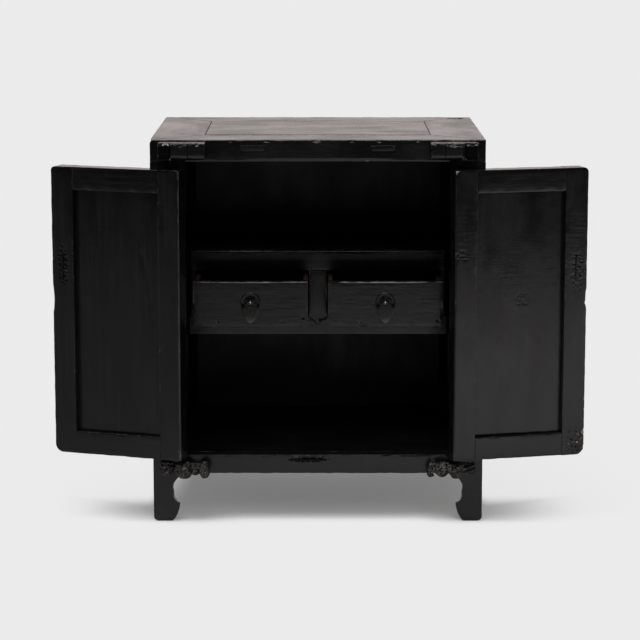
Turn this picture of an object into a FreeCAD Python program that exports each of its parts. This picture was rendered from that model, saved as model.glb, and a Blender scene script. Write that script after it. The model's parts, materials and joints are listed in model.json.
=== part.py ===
import FreeCAD, Part
import math
import os
from FreeCAD import Vector

# A two-door storage chest in black lacquer on four hoof feet, with two drawers inside.
# Millimetres, +Z up, the front faces -Y. The origin is on the floor, under the middle of
# the box that holds the chest with its doors open and its drawers part way out.

# Overall sizes of the closed chest, without its hinge blocks
width = 610.0
depth = 480.0
height = 712.0

# Top: a mitred frame round a floating panel, with two battens tenoned right through the frame
top_thick = 40.8
top_member = 96.0
top_panel_thick = 11.0
top_panel_gap = 1.0
batten_spacing = 236.0
batten_wide = 42.0
batten_tall = 20.0
batten_tenon_tall = 8.5
batten_tenon_drop = 1.3
batten_tenon_sunk = 0.4

# Joinery that repeats
tongue = 7.0
tongue_thick = 5.0
rail_tenon = 16.0
rail_tenon_thick = 10.0
tenon_shoulder = 7.0
door_tenon_shoulder = 14.0
post_tenon = 18.0
post_tenon_side = 22.0

# Posts that run down into hoof feet, measured from a post's outer corner
post_wide = 60.0
post_deep = 46.0
neck_wide = 35.0
neck_z = 58.5
toe_wide = 49.0
toe_z = 35.0
toe_belly = 3.5
sole_inner = 34.0
sole_outer = 8.0

# Rails, panels and floor of the case
rail_low = 92.0
rail_tall = 36.0
rail_thick = 28.0
rail_set = 1.0
wall_thick = 10.0
wall_set = 4.0
wall_groove = 8.0
floor_thick = 12.0
floor_drop = 0.5
floor_batten_spacing = 240.0
floor_batten_wide = 40.0
floor_batten_tall = 16.0

# Drawer bank, set back inside the case
bank_recess = 222.0
bank_low = 315.0
bank_low_rail_tall = 36.5
bank_open_tall = 86.8
bank_top_rail_tall = 39.5
bank_rail_thick = 22.0
board_thick = 12.0
bearer_thick = 20.0
divider_wide = 35.4
shoulder_drop = 16.5
shoulder_deep = 6.0
end_board_thick = 10.0
end_board_set = 3.0
guide_tall = 20.0
guide_play = 0.7

# Drawers, and how far they are pulled out
drawer_pulled = 127.0
drawer_side_play = 1.0
drawer_top_play = 1.0
drawer_run = 0.3
drawer_back_room = 24.0
drawer_front_thick = 18.0
drawer_side_thick = 9.0
drawer_side_drop = 8.0
drawer_bottom_thick = 6.0
drawer_bottom_lift = 6.0
drawer_groove = 4.0
drawer_pull_rise = 3.0

# Doors, which turn on round pegs at the top and bottom of their hinge stiles
door_thick = 33.5
door_member = 42.5
door_panel_thick = 9.0
door_panel_recess = 13.0
door_lift_room = 10.0
door_lap = 0.5
door_gap = 1.8
door_meeting_gap = 1.6
door_corner_top = 8.0
door_corner_low = 16.0
door_hinge_round = 4.0
door_rest_gap = 0.7
right_door_shy = 5.5
pivot_inset = 58.0
pivot_edge = 6.8
peg_radius = 6.3
peg_play = 0.08
peg_top_deep = 14.0
peg_low_long = 14.7
peg_end_play = 0.3
door_pull_z = 477.0
door_pull_edge = 20.5

# Hinge blocks: stepped ones on the top frame, carved ones on the feet
block_wall = 10.0
block_tall = 31.0
block_drop = 3.0
block_outer = 9.6
block_steps = (26.8, 31.8, 33.2)
block_step_back = 12.0
block_groove = 2.0
block_cove = 9.0
carved_top_room = 4.1
carved_tall = 33.0
carved_plate_thick = 14.0
carved_plate_margin = 5.0
carved_scroll_inset = 27.0
carved_scroll_radius = 13.0
carved_scroll_reach = 26.0
carved_head_inset = 94.0
carved_head_radius = 13.5
carved_neck_radius = 9.0
carved_ear_radius = 4.0
carved_ear_tip = 1.3

# Drop pulls: a round plate, an eye pin clinched behind the board, a leaf hung in the eye
plate_radius = 19.0
plate_thick = 1.6
plate_rim = 0.8
shank_radius = 2.2
shank_play = 0.2
collar_radius = 3.6
collar_thick = 0.8
eye_radius = 4.2
eye_thick = 3.2
bar_radius = 1.6
bar_play = 0.08
tail_long = 26.0
tail_wide = 4.0
tail_thick = 1.4
leaf_thick = 2.4
leaf_half = 16.5
leaf_widest = 11.0
leaf_long = 39.0
leaf_top = 2.0
leaf_window_play = 0.6
leaf_arm = 3.0
leaf_belly = 3.0
leaf_shoulder = 12.0
leaf_shoulder_drop = 3.0

# How near a plane an edge lies when it is picked to be rounded
near = 1.0

# Places that follow from the sizes above
side = width / 2
top_low = height - top_thick
rail_top = rail_low + rail_tall
pivot_x = side - pivot_inset
pivot_back = door_thick - pivot_edge
pivot_out = door_gap + pivot_back
swing = math.hypot(pivot_out, pivot_inset)
open_past = math.acos((pivot_edge + door_rest_gap) / swing) - math.atan2(pivot_inset, pivot_out)
door_turns = {"left": 180 + math.degrees(open_past),
              "right": 180 + math.degrees(open_past) - right_door_shy}
rest_angle = math.radians(door_turns["right"] - 180)
door_reach = (pivot_out + door_hinge_round
              + (pivot_back - door_hinge_round) * math.cos(rest_angle)
              + (pivot_edge - door_hinge_round) * math.sin(rest_angle))
block_reach = pivot_out + peg_radius + block_wall
front = (max(door_reach, block_reach) - depth) / 2
back = front + depth
pivot_y = front - pivot_out
door_low = rail_top - door_lap
door_top = top_low - door_lift_room
wall_inner = side - wall_set - wall_thick
back_inner = back - wall_set - wall_thick
bank_front = front + bank_recess
bank_deck = bank_low + bank_low_rail_tall
bank_open_top = bank_deck + bank_open_tall
bank_top = bank_open_top + bank_top_rail_tall
bank_half = side - post_wide
drawer_low = bank_deck + drawer_run
drawer_tall = bank_open_tall - drawer_run - drawer_top_play
drawer_outer = bank_half - end_board_thick - drawer_side_play
drawer_inner = divider_wide / 2 + drawer_side_play
drawer_long = back_inner - bank_front - drawer_back_room
drawer_front_y = bank_front - drawer_pulled

parts = {}


def box(x0, x1, y0, y1, z0, z1):
    """Upright block between two corners."""
    return Part.makeBox(x1 - x0, y1 - y0, z1 - z0, Vector(x0, y0, z0))


def prism(points, sweep):
    """Solid made by sweeping a closed outline of straight lines."""
    return Part.Face(Part.makePolygon(points + points[:1])).extrude(sweep)


def across(shape):
    """The same piece on the other side of the chest."""
    return shape.mirror(Vector(0, 0, 0), Vector(1, 0, 0))


def behind(shape):
    """The same piece at the other end of the chest's depth."""
    return shape.mirror(Vector(0, (front + back) / 2, 0), Vector(0, 1, 0))


def pair(shape):
    """A piece and its twin on the other side, as two separate solids."""
    return Part.makeCompound([shape, across(shape)])


def both_sides(name, shape):
    """Keep a left-hand piece and its right-hand twin as two nodes."""
    parts["left_" + name] = shape
    parts["right_" + name] = across(shape)


def framed_panel(x0, x1, y0, y1, z0, z1, gap):
    """Flat panel with a thin tongue all round, which reaches into its frame's grooves."""
    middle = (z0 + z1 - tongue_thick) / 2
    face = box(x0 + gap, x1 - gap, y0 + gap, y1 - gap, z0, z1)
    rim = box(x0 - tongue, x1 + tongue, y0 - tongue, y1 + tongue, middle, middle + tongue_thick)
    return face.fuse(rim).removeSplitter()


def make_top():
    """Mitred frame, floating panel, and battens whose tenons show on the front and back."""
    inset = Vector(top_member, top_member, 0)
    low, high = Vector(-side, front, top_low), Vector(side, back, top_low)
    outer = [low, Vector(side, front, top_low), high, Vector(-side, back, top_low)]
    low, high = low + inset, high - inset
    inner = [low, Vector(high.x, low.y, top_low), high, Vector(low.x, high.y, top_low)]
    panel_low = height - top_panel_thick
    panel = framed_panel(low.x, high.x, low.y, high.y, panel_low, height, top_panel_gap)

    batten_x = batten_spacing / 2
    x0, x1 = batten_x - batten_wide / 2, batten_x + batten_wide / 2
    tenon_high = panel_low - batten_tenon_drop
    tenon_low = tenon_high - batten_tenon_tall
    body = box(x0, x1, low.y, high.y, panel_low - batten_tall, panel_low)
    tenon = box(x0, x1, front + batten_tenon_sunk, back - batten_tenon_sunk, tenon_low, tenon_high)
    mortise = pair(box(x0, x1, front, back, tenon_low, tenon_high))

    names = ["top_front_rail", "top_right_rail", "top_back_rail", "top_left_rail"]
    for corner, name in enumerate(names):
        after = (corner + 1) % len(names)
        outline = [outer[corner], outer[after], inner[after], inner[corner]]
        rail = prism(outline, Vector(0, 0, top_thick))
        parts[name] = rail.cut(panel).cut(mortise)
    parts["top_panel"] = panel
    parts["top_battens"] = pair(body.fuse(tenon).removeSplitter())


def neck_arc_middle(end):
    """Middle of the arc that leaves the neck upright and ends at a point (inset, height)."""
    run, rise = end[0] - neck_wide, end[1] - neck_z
    radius = (run * run + rise * rise) / (2 * run)
    half = math.atan2(abs(rise), radius - run) / 2
    return (neck_wide + radius * (1 - math.cos(half)),
            neck_z + math.copysign(radius * math.sin(half), rise))


def hoof_face(post, place):
    """Outline of a post seen square on; place puts (inset, height) in space."""
    shoulder, neck, toe = (post, rail_low), (neck_wide, neck_z), (toe_wide, toe_z)
    heel, sole, ankle = (sole_inner, 0), (sole_outer, 0), (0, sole_outer)
    slope = math.atan2(toe_z, toe_wide - sole_inner)
    belly = ((toe_wide + sole_inner) / 2 + toe_belly * math.sin(slope),
             toe_z / 2 - toe_belly * math.cos(slope))
    round_heel = sole_outer * (1 - math.sqrt(0.5))
    lines = [(ankle, (0, top_low)), ((0, top_low), (post, top_low)), ((post, top_low), shoulder),
             (heel, sole)]
    arcs = [(shoulder, neck_arc_middle(shoulder), neck), (neck, neck_arc_middle(toe), toe),
            (toe, belly, heel), (sole, (round_heel, round_heel), ankle)]
    edges = [Part.makeLine(place(*start), place(*end)) for start, end in lines]
    edges += [Part.Arc(*[place(*point) for point in arc]).toShape() for arc in arcs]
    return Part.Face(Part.Wire(Part.sortEdges(edges)[0]))


def make_post():
    """Front left post: the curve of the hoof shows on both of its inner sides."""
    room = max(post_wide, post_deep, toe_wide)
    seen_from_front = hoof_face(post_wide, lambda u, z: Vector(-side + u, front, z))
    seen_from_side = hoof_face(post_deep, lambda u, z: Vector(-side, front + u, z))
    post = seen_from_front.extrude(Vector(0, room, 0))
    post = post.common(seen_from_side.extrude(Vector(room, 0, 0)))
    x0 = -side + (post_wide - post_tenon_side) / 2
    y0 = front + (post_deep - post_tenon_side) / 2
    tenon = box(x0, x0 + post_tenon_side, y0, y0 + post_tenon_side, top_low, top_low + post_tenon)
    return post.fuse(tenon).removeSplitter()


def rail_along_x():
    """Bottom front rail with a tenon at each end."""
    half, y0 = side - post_wide, front + rail_set
    middle = y0 + (rail_thick - rail_tenon_thick) / 2
    tenon = box(-half - rail_tenon, half + rail_tenon, middle, middle + rail_tenon_thick,
                rail_low + tenon_shoulder, rail_top - tenon_shoulder)
    return box(-half, half, y0, y0 + rail_thick, rail_low, rail_top).fuse(tenon).removeSplitter()


def rail_along_y():
    """Bottom left rail with a tenon at each end."""
    y0, y1, x0 = front + post_deep, back - post_deep, -side + rail_set
    middle = x0 + (rail_thick - rail_tenon_thick) / 2
    tenon = box(middle, middle + rail_tenon_thick, y0 - rail_tenon, y1 + rail_tenon,
                rail_low + tenon_shoulder, rail_top - tenon_shoulder)
    return box(x0, x0 + rail_thick, y0, y1, rail_low, rail_top).fuse(tenon).removeSplitter()


def make_case():
    """Posts, bottom rails, side walls, back and floor."""
    front_rail, side_rail = rail_along_x(), rail_along_y()
    wall = box(-side + wall_set, -wall_inner, front + post_deep - wall_groove,
               back - post_deep + wall_groove, rail_top, top_low)
    half = side - post_wide + wall_groove
    back_wall = box(-half, half, back_inner, back - wall_set, rail_top, top_low)
    post = make_post()
    front_post = post.cut(front_rail).cut(side_rail).cut(wall)
    back_post = behind(post).cut(behind(front_rail)).cut(side_rail).cut(wall).cut(back_wall)

    edge = rail_set + rail_thick
    floor_top = rail_top - floor_drop
    floor = framed_panel(-side + edge, side - edge, front + edge, back - edge,
                         floor_top - floor_thick, floor_top, 0)
    for corner in (front_post, back_post):
        floor = floor.cut(pair(corner))
    x0 = (floor_batten_spacing - floor_batten_wide) / 2
    batten = box(x0, x0 + floor_batten_wide, front + edge, back - edge,
                 floor_top - floor_thick - floor_batten_tall, floor_top - floor_thick)

    both_sides("front_post", front_post)
    both_sides("back_post", back_post)
    parts["bottom_front_rail"] = front_rail.cut(floor)
    parts["bottom_back_rail"] = behind(front_rail).cut(floor)
    parts["bottom_side_rails"] = pair(side_rail.cut(floor))
    both_sides("side_wall", wall)
    parts["back_wall"] = back_wall
    parts["floor_panel"] = floor
    parts["floor_battens"] = pair(batten)
    for name in ("top_front_rail", "top_left_rail", "top_right_rail", "top_back_rail"):
        for corner in (front_post, back_post):
            parts[name] = parts[name].cut(pair(corner))


def make_bank():
    """Drawer bank: rails, divider, end boards, bearers, deck, guide and shelf."""
    bearer_half = wall_inner - bearer_thick
    rail_back = bank_front + bank_rail_thick
    half = divider_wide / 2
    shoulder = prism([Vector(-half, bank_front, bank_deck), Vector(half, bank_front, bank_deck),
                      Vector(0, bank_front, bank_deck - shoulder_drop)], Vector(0, shoulder_deep, 0))
    divider = box(-half, half, bank_front, rail_back, bank_deck, bank_open_top)
    divider = divider.fuse(shoulder).removeSplitter()
    low_rail = box(-bearer_half, bearer_half, bank_front, rail_back, bank_low, bank_deck)
    top_rail = box(-wall_inner, wall_inner, bank_front, rail_back, bank_open_top, bank_top)
    end_board = box(-bank_half, -bank_half + end_board_thick, bank_front + end_board_set,
                    back_inner, bank_deck, bank_top - board_thick)
    bearer = box(-wall_inner, -bearer_half, front + post_deep, back - post_deep,
                 bank_low, bank_deck - board_thick)
    deck = box(-wall_inner, wall_inner, rail_back, back_inner, bank_deck - board_thick, bank_deck)
    shelf = box(-wall_inner, wall_inner, rail_back, back_inner, bank_top - board_thick, bank_top)
    for name in ("left_back_post", "right_back_post"):
        deck = deck.cut(parts[name])
        shelf = shelf.cut(parts[name])
    guide_half = half - guide_play
    parts["bank_low_rail"] = low_rail.cut(divider)
    parts["bank_top_rail"] = top_rail
    parts["bank_divider"] = divider
    parts["bank_end_boards"] = pair(end_board.cut(top_rail))
    parts["bank_bearers"] = pair(bearer)
    parts["drawer_deck"] = deck
    parts["drawer_guide"] = box(-guide_half, guide_half, rail_back, back_inner,
                                bank_deck, bank_deck + guide_tall)
    parts["shelf_board"] = shelf


def upper_block():
    """Left upper hinge block: three steps, coved under, with a bore for the door's top peg."""
    low = height - block_drop - block_tall
    x0 = -side + block_outer
    block = None
    for index, step in enumerate(block_steps):
        reach = block_reach - (block_step_back if index == 0 else 0)
        piece = box(x0, x0 + step, front - reach, front, low, low + block_tall)
        cove = [edge for edge in piece.Edges
                if edge.BoundBox.YMax < front - reach + near and edge.BoundBox.ZMax < low + near]
        piece = piece.makeFillet(block_cove, cove)
        block = piece if block is None else block.fuse(piece)
        x0 += step
        if index < len(block_steps) - 1:
            tip = front - reach + block_groove
            notch = prism([Vector(x0 - block_groove, front - reach, low), Vector(x0, tip, low),
                           Vector(x0 + block_groove, front - reach, low)], Vector(0, 0, block_tall))
            block = block.cut(notch)
    bore = Part.makeCylinder(peg_radius + peg_play, peg_top_deep + peg_end_play,
                             Vector(-pivot_x, pivot_y, low))
    return block.cut(bore).removeSplitter()


def lower_block():
    """Left lower hinge block: a carved beast whose body holds the door's bottom peg."""
    high = door_low - carved_top_room
    low = high - carved_tall
    middle = (low + high) / 2
    scroll_x = -side + carved_scroll_inset
    head_x = -side + carved_head_inset
    plate = box(scroll_x - carved_scroll_radius, head_x + carved_head_radius,
                front - carved_plate_thick, front, low + carved_plate_margin, high - carved_plate_margin)
    scroll = Part.makeCylinder(carved_scroll_radius, carved_scroll_reach,
                               Vector(scroll_x, front - carved_scroll_reach, middle), Vector(0, 1, 0))
    body_radius = block_reach - pivot_out
    body = Part.makeCylinder(body_radius, carved_tall, Vector(-pivot_x, pivot_y, low))
    body = body.fuse(box(-pivot_x - body_radius, -pivot_x + body_radius, pivot_y, front, low, high))
    neck = Part.makeCylinder(carved_neck_radius, head_x + pivot_x,
                             Vector(-pivot_x, pivot_y, middle), Vector(1, 0, 0))
    head = Part.makeSphere(carved_head_radius, Vector(head_x, pivot_y, middle))
    throat = Part.makeCylinder(carved_neck_radius, pivot_out, Vector(head_x, pivot_y, middle),
                               Vector(0, 1, 0))
    ear = Part.makeCone(carved_ear_radius, carved_ear_tip, high - middle,
                        Vector(head_x, pivot_y, middle))
    block = plate.fuse([scroll, body, neck, head, throat, ear])
    bore_low = door_low - peg_low_long - peg_end_play
    bore = Part.makeCylinder(peg_radius + peg_play, high - bore_low, Vector(-pivot_x, pivot_y, bore_low))
    return block.cut(bore).removeSplitter()


def leaf_outline():
    """Outline of a hanging leaf: round shoulders, then two curves that meet in a point."""
    top, tip = Vector(0, 0, leaf_top), Vector(0, 0, -leaf_long)
    edges = []
    for hand in (-1, 1):
        wide = Vector(hand * leaf_half, 0, -leaf_widest)
        shoulder = Vector(hand * leaf_shoulder, 0, -leaf_shoulder_drop)
        flank = (wide + tip) / 2 + Vector(hand * leaf_belly, 0, -leaf_belly)
        edges.append(Part.Arc(top, shoulder, wide).toShape())
        edges.append(Part.Arc(wide, flank, tip).toShape())
    return Part.Face(Part.Wire(Part.sortEdges(edges)[0]))


def pin_hole(x, y, z, long):
    """Hole for a pull's shank through a board that starts at y."""
    return Part.makeCylinder(shank_radius + shank_play, long, Vector(x, y, z), Vector(0, 1, 0))


def make_pull(board):
    """Drop pull on a board of this thickness, whose face is the plane y = 0 and points to -Y."""
    along_x, along_y = Vector(1, 0, 0), Vector(0, 1, 0)
    disc = Part.makeCylinder(plate_radius, plate_thick, Vector(0, -plate_thick, 0), along_y)
    rim = [edge for edge in disc.Edges if edge.BoundBox.YMax < -plate_thick / 2
           and edge.BoundBox.YLength < plate_thick / 2]
    plate = disc.makeChamfer(plate_rim, rim).cut(pin_hole(0, -plate_thick, 0, plate_thick))

    eye_y = -plate_thick - collar_thick - eye_radius
    eye = Part.makeCylinder(eye_radius, eye_thick, Vector(-eye_thick / 2, eye_y, 0), along_x)
    collar = Part.makeCylinder(collar_radius, collar_thick,
                               Vector(0, -plate_thick - collar_thick, 0), along_y)
    shank_start = eye_y + (bar_radius + bar_play + eye_radius) / 2
    shank = Part.makeCylinder(shank_radius, board + tail_thick - shank_start,
                              Vector(0, shank_start, 0), along_y)
    tails = box(-tail_wide / 2, tail_wide / 2, board, board + tail_thick,
                -tail_long, tail_long)
    bore = Part.makeCylinder(bar_radius + bar_play, eye_thick, Vector(-eye_thick / 2, eye_y, 0), along_x)
    pin = eye.fuse([collar, shank, tails]).cut(bore).removeSplitter()

    leaf = leaf_outline().extrude(Vector(0, leaf_thick, 0))
    leaf.translate(Vector(0, eye_y - leaf_thick / 2, 0))
    window = eye_thick / 2 + leaf_window_play
    reach = eye_radius + leaf_window_play
    leaf = leaf.cut(box(-window, window, eye_y - eye_radius, eye_y + eye_radius, -reach, reach))
    bar = Part.makeCylinder(bar_radius, 2 * (window + leaf_arm),
                            Vector(-window - leaf_arm, eye_y, 0), along_x)
    return {"plate": plate, "pin": pin, "leaf": leaf.fuse(bar).removeSplitter()}


def swung_open(name, shut):
    """Keep a piece of the shut left door, and its twin, where the open doors stand."""
    for hand, turn_way, piece in (("left", -1, shut.copy()), ("right", 1, across(shut))):
        pivot = Vector(turn_way * pivot_x, pivot_y, 0)
        piece.rotate(pivot, Vector(0, 0, 1), turn_way * door_turns[hand])
        parts[hand + "_" + name] = piece


def add_pull(prefix, board, x, y, z, keep):
    """Put a pull on a board and keep its three pieces."""
    for name, piece in make_pull(board).items():
        piece.translate(Vector(x, y, z))
        keep(prefix + "_pull_" + name, piece)


def make_doors():
    """Framed doors, built shut on the left, then swung open past a straight line."""
    x0, x1 = -pivot_x - pivot_edge, -door_meeting_gap / 2
    y1 = front - door_gap
    y0 = y1 - door_thick
    hinge = box(x0, x0 + door_member, y0, y1, door_low, door_top)
    arrises = [edge for edge in hinge.Edges
               if edge.BoundBox.XMax < x0 + near and edge.BoundBox.ZLength > near]
    hinge = hinge.makeFillet(door_hinge_round, arrises)
    block_low = height - block_drop - block_tall
    peg_low = door_low - peg_low_long
    upper_peg = Part.makeCylinder(peg_radius, block_low + peg_top_deep - door_top,
                                  Vector(-pivot_x, pivot_y, door_top))
    lower_peg = Part.makeCylinder(peg_radius, peg_low_long, Vector(-pivot_x, pivot_y, peg_low))
    hinge = hinge.fuse([upper_peg, lower_peg])

    meeting = box(x1 - door_member, x1, y0, y1, door_low, door_top)
    for radius, z in ((door_corner_top, door_top), (door_corner_low, door_low)):
        corner = [edge for edge in meeting.Edges if edge.BoundBox.XMin > x1 - near
                  and abs(edge.BoundBox.ZMin - z) < near and edge.BoundBox.ZLength < near]
        meeting = meeting.makeFillet(radius, corner)

    inner0, inner1 = x0 + door_member, x1 - door_member
    panel_y1 = y1 - door_panel_recess
    panel_y0 = panel_y1 - door_panel_thick
    rim_y0 = (panel_y0 + panel_y1 - tongue_thick) / 2
    panel_z0, panel_z1 = door_low + door_member, door_top - door_member
    panel = box(inner0, inner1, panel_y0, panel_y1, panel_z0, panel_z1)
    rim = box(inner0 - tongue, inner1 + tongue, rim_y0, rim_y0 + tongue_thick,
              panel_z0 - tongue, panel_z1 + tongue)
    panel = panel.fuse(rim).removeSplitter()
    tenon_y = (y0 + y1 - rail_tenon_thick) / 2

    def rail(z):
        tenon = box(inner0 - rail_tenon, inner1 + rail_tenon, tenon_y, tenon_y + rail_tenon_thick,
                    z + door_tenon_shoulder, z + door_member - door_tenon_shoulder)
        return box(inner0, inner1, y0, y1, z, z + door_member).fuse(tenon).removeSplitter().cut(panel)

    low_rail, top_rail = rail(door_low), rail(door_top - door_member)
    pull_x = x1 - door_pull_edge
    hinge = hinge.cut([panel, low_rail, top_rail])
    meeting = meeting.cut([panel, low_rail, top_rail, pin_hole(pull_x, y0, door_pull_z, door_thick)])

    pieces = {"hinge_stile": hinge, "meeting_stile": meeting, "top_rail": top_rail,
              "low_rail": low_rail, "panel": panel}
    for name, piece in pieces.items():
        swung_open("door_" + name, piece)
    add_pull("door", door_thick, pull_x, y0, door_pull_z, swung_open)


def make_drawers():
    """Left drawer and its twin, part way out of the bank."""
    x0, x1 = -drawer_outer, -drawer_inner
    y0 = drawer_front_y
    y1, y2 = y0 + drawer_front_thick, y0 + drawer_long
    z0, z1 = drawer_low, drawer_low + drawer_tall
    side_z = z1 - drawer_side_drop
    floor_z = z0 + drawer_bottom_lift
    in0, in1 = x0 + drawer_side_thick, x1 - drawer_side_thick
    bottom = box(in0 - drawer_groove, in1 + drawer_groove, y1 - drawer_groove, y2,
                 floor_z, floor_z + drawer_bottom_thick)
    sides = [box(x0, in0, y1, y2, z0, side_z), box(in1, x1, y1, y2, z0, side_z)]
    rear = box(in0, in1, y2 - drawer_side_thick, y2, floor_z + drawer_bottom_thick, side_z)
    pull_x, pull_z = (x0 + x1) / 2, (z0 + z1) / 2 + drawer_pull_rise
    face = box(x0, x1, y0, y1, z0, z1).cut([bottom, pin_hole(pull_x, y0, pull_z, drawer_front_thick)])
    both_sides("drawer_front", face)
    both_sides("drawer_sides", Part.makeCompound([board.cut(bottom) for board in sides]))
    both_sides("drawer_rear", rear)
    both_sides("drawer_bottom", bottom)
    add_pull("drawer", drawer_front_thick, pull_x, y0, pull_z, both_sides)


make_top()
make_case()
make_bank()
both_sides("upper_hinge_block", upper_block())
both_sides("lower_hinge_block", lower_block())
make_doors()
make_drawers()

os.makedirs("parts", exist_ok=True)
for node, shape in parts.items():
    shape.exportStep("parts/" + node + ".step")
print(len(parts), "nodes,", sum(len(shape.Solids) for shape in parts.values()), "solids")
print("doors stand open by", {hand: round(turn, 3) for hand, turn in door_turns.items()}, "degrees")
print("front plane at y", round(front, 3), "and pivots at x", pivot_x, "y", round(pivot_y, 3))
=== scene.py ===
# %% [markdown]
# # A storage chest in worn black lacquer
# The chest is a small two-door cabinet on hoof feet, with two drawers inside. Its pieces and their
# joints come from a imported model, the frame. This lesson dresses that frame: it rounds and wears
# every board, carves the hinge blocks, hammers the pulls and gives each surface its finish.

# %% Load the frame
import json
import math
import random

import bmesh
import bpy
import numpy as np
from mathutils import Matrix, Vector, noise


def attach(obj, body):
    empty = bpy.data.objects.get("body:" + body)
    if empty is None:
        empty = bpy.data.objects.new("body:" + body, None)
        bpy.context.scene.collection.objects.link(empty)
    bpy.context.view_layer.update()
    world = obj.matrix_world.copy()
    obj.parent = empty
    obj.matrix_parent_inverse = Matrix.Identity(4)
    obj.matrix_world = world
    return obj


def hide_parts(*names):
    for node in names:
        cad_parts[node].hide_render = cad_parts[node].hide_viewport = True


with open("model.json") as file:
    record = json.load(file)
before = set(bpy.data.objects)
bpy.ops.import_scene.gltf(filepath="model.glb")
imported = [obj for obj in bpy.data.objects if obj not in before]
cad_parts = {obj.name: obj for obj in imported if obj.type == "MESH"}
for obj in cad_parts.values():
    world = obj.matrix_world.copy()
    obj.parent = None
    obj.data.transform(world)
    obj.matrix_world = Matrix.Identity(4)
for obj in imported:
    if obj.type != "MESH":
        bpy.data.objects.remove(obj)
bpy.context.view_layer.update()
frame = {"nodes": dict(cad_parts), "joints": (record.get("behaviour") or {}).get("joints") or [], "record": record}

scene = bpy.context.scene
joints = {joint["name"]: joint for joint in frame["joints"]}
bodies = frame["record"]["behaviour"]["bodies"]
body_of_node = {node: body for body, nodes in bodies.items() for node in nodes}
mm = 0.001

# %% [markdown]
# ## The camera
# The photograph was taken with a long lens from a little above the chest. Such a lens keeps
# parallel edges nearly parallel. The place, the tilt and the focal length were found by matching
# the chest's corners with the photograph. A pixel of the photograph can then be sent back along its
# ray to a plane of the chest, which is how scars and chips are put where the photograph has them.

# %% Camera
photo_px = 640
focal_px = 2400
camera_tilt = math.radians(9.745)
camera_turn = math.radians(-0.027)
camera_place = (0.0019, -4.5502, 1.1257)


def put(name, data):
    """A new object in the scene."""
    thing = bpy.data.objects.new(name, data)
    scene.collection.objects.link(thing)
    return thing


camera_data = bpy.data.cameras.new("photo_view")
camera_data.sensor_width = 36
camera_data.lens = camera_data.sensor_width * focal_px / photo_px
camera_data.clip_end = 300
camera = put("photo_view", camera_data)
camera.location = camera_place
camera.rotation_euler = (math.pi / 2 - camera_tilt, 0, camera_turn)
scene.camera = camera


def at_pixel(u, v, point, normal):
    """Where the photograph's pixel (u, v) lies on the plane through point."""
    middle = photo_px / 2
    ray = camera.rotation_euler.to_matrix() @ Vector((u - middle, middle - v, -focal_px))
    reach = (Vector(point) - camera.location).dot(normal) / ray.dot(normal)
    return camera.location + ray * reach


print("lens", camera_data.lens, "mm")

# %% [markdown]
# ## The studio
# Black lacquer is dark glass over wood: what it shows is mostly what it mirrors. The photograph's
# studio is bright behind the chest, dark behind the camera, and has a pale floor. The world is
# therefore a soft dome that fades from bright behind to dark in front. A wide lamp overhead gives
# the shadow under the chest, and a weak one in front picks out lips and edges. Materials and the
# world are built from nodes, so the first cell makes a short way to write nodes down.


# %% Node helpers
class Recipe:
    """A node tree written as short steps."""

    def __init__(self, owner):
        owner.use_nodes = True
        self.tree = owner.node_tree
        self.tree.nodes.clear()

    def step(self, kind, settings=None, **inputs):
        """One node, its settings, and its inputs as numbers, colours or other nodes' sockets."""
        node = self.tree.nodes.new(kind)
        for name, value in (settings or {}).items():
            setattr(node, name, value)
        for name, value in inputs.items():
            key = int(name[1:]) if name[1:].isdigit() else name.replace("_", " ")
            self.feed(node.inputs[key], value)
        return node

    def feed(self, socket, value):
        """Links a socket into an input, or sets the input to a plain value."""
        if isinstance(value, bpy.types.NodeSocket):
            self.tree.links.new(value, socket)
        else:
            socket.default_value = value

    def maths(self, operation, a, b):
        """One sum, product or other operation on two values."""
        return self.step("ShaderNodeMath", {"operation": operation}, i0=a, i1=b).outputs[0]

    def most(self, first, *others):
        """The largest of some values."""
        for other in others:
            first = self.maths("MAXIMUM", first, other)
        return first

    def mix(self, share, a, b):
        """Blend of two colours."""
        return self.step("ShaderNodeMix", {"data_type": "RGBA"}, i0=share, i6=a, i7=b).outputs[2]

    def spread(self, value, low, high, to_low=0.0, to_high=1.0):
        """A value eased from one range into another."""
        return self.step("ShaderNodeMapRange", {"interpolation_type": "SMOOTHSTEP"}, i0=value,
                         i1=low, i2=high, i3=to_low, i4=to_high).outputs[0]

    def clouds(self, vector, scale, detail=4.0, roughness=0.55):
        """Noise that is stretched by a scale for each axis, in waves per metre."""
        scaled = self.step("ShaderNodeVectorMath", {"operation": "MULTIPLY"}, i0=vector, i1=scale)
        return self.step("ShaderNodeTexNoise", Vector=scaled.outputs[0], Scale=1.0,
                         Detail=detail, Roughness=roughness).outputs["Fac"]

    def measure(self, name, socket="Fac"):
        """A measure that the meshes carry."""
        return self.step("ShaderNodeAttribute", {"attribute_name": name}).outputs[socket]


print("node helpers ready")

# %% World
pale = (0.83, 0.83, 0.83, 1)
sky_colour = (1, 0.912, 0.884, 1)
sky_dark = 0.006
sky_bright = 0.72
rise_share = 0.30
world = bpy.data.worlds.new("studio")
scene.world = world
dome = Recipe(world)
direction = dome.step("ShaderNodeTexCoord").outputs["Generated"]
aim = dome.step("ShaderNodeSeparateXYZ", Vector=direction)
rise = dome.maths("MULTIPLY", aim.outputs["Z"], rise_share)
backwards = dome.maths("ADD", rise, aim.outputs["Y"])
light = dome.spread(backwards, -0.30, 0.95, sky_dark, sky_bright)
overhead = dome.spread(aim.outputs["Z"], 0.25, 0.75, 1.0, 0.25)
light = dome.maths("MULTIPLY", light, overhead)
lit = dome.step("ShaderNodeBackground", Color=sky_colour, Strength=light)
plain = dome.step("ShaderNodeBackground", Color=pale, Strength=1.0)
seen = dome.step("ShaderNodeLightPath").outputs["Is Camera Ray"]
shown = dome.step("ShaderNodeMixShader", i0=seen, i1=lit.outputs[0], i2=plain.outputs[0])
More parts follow.
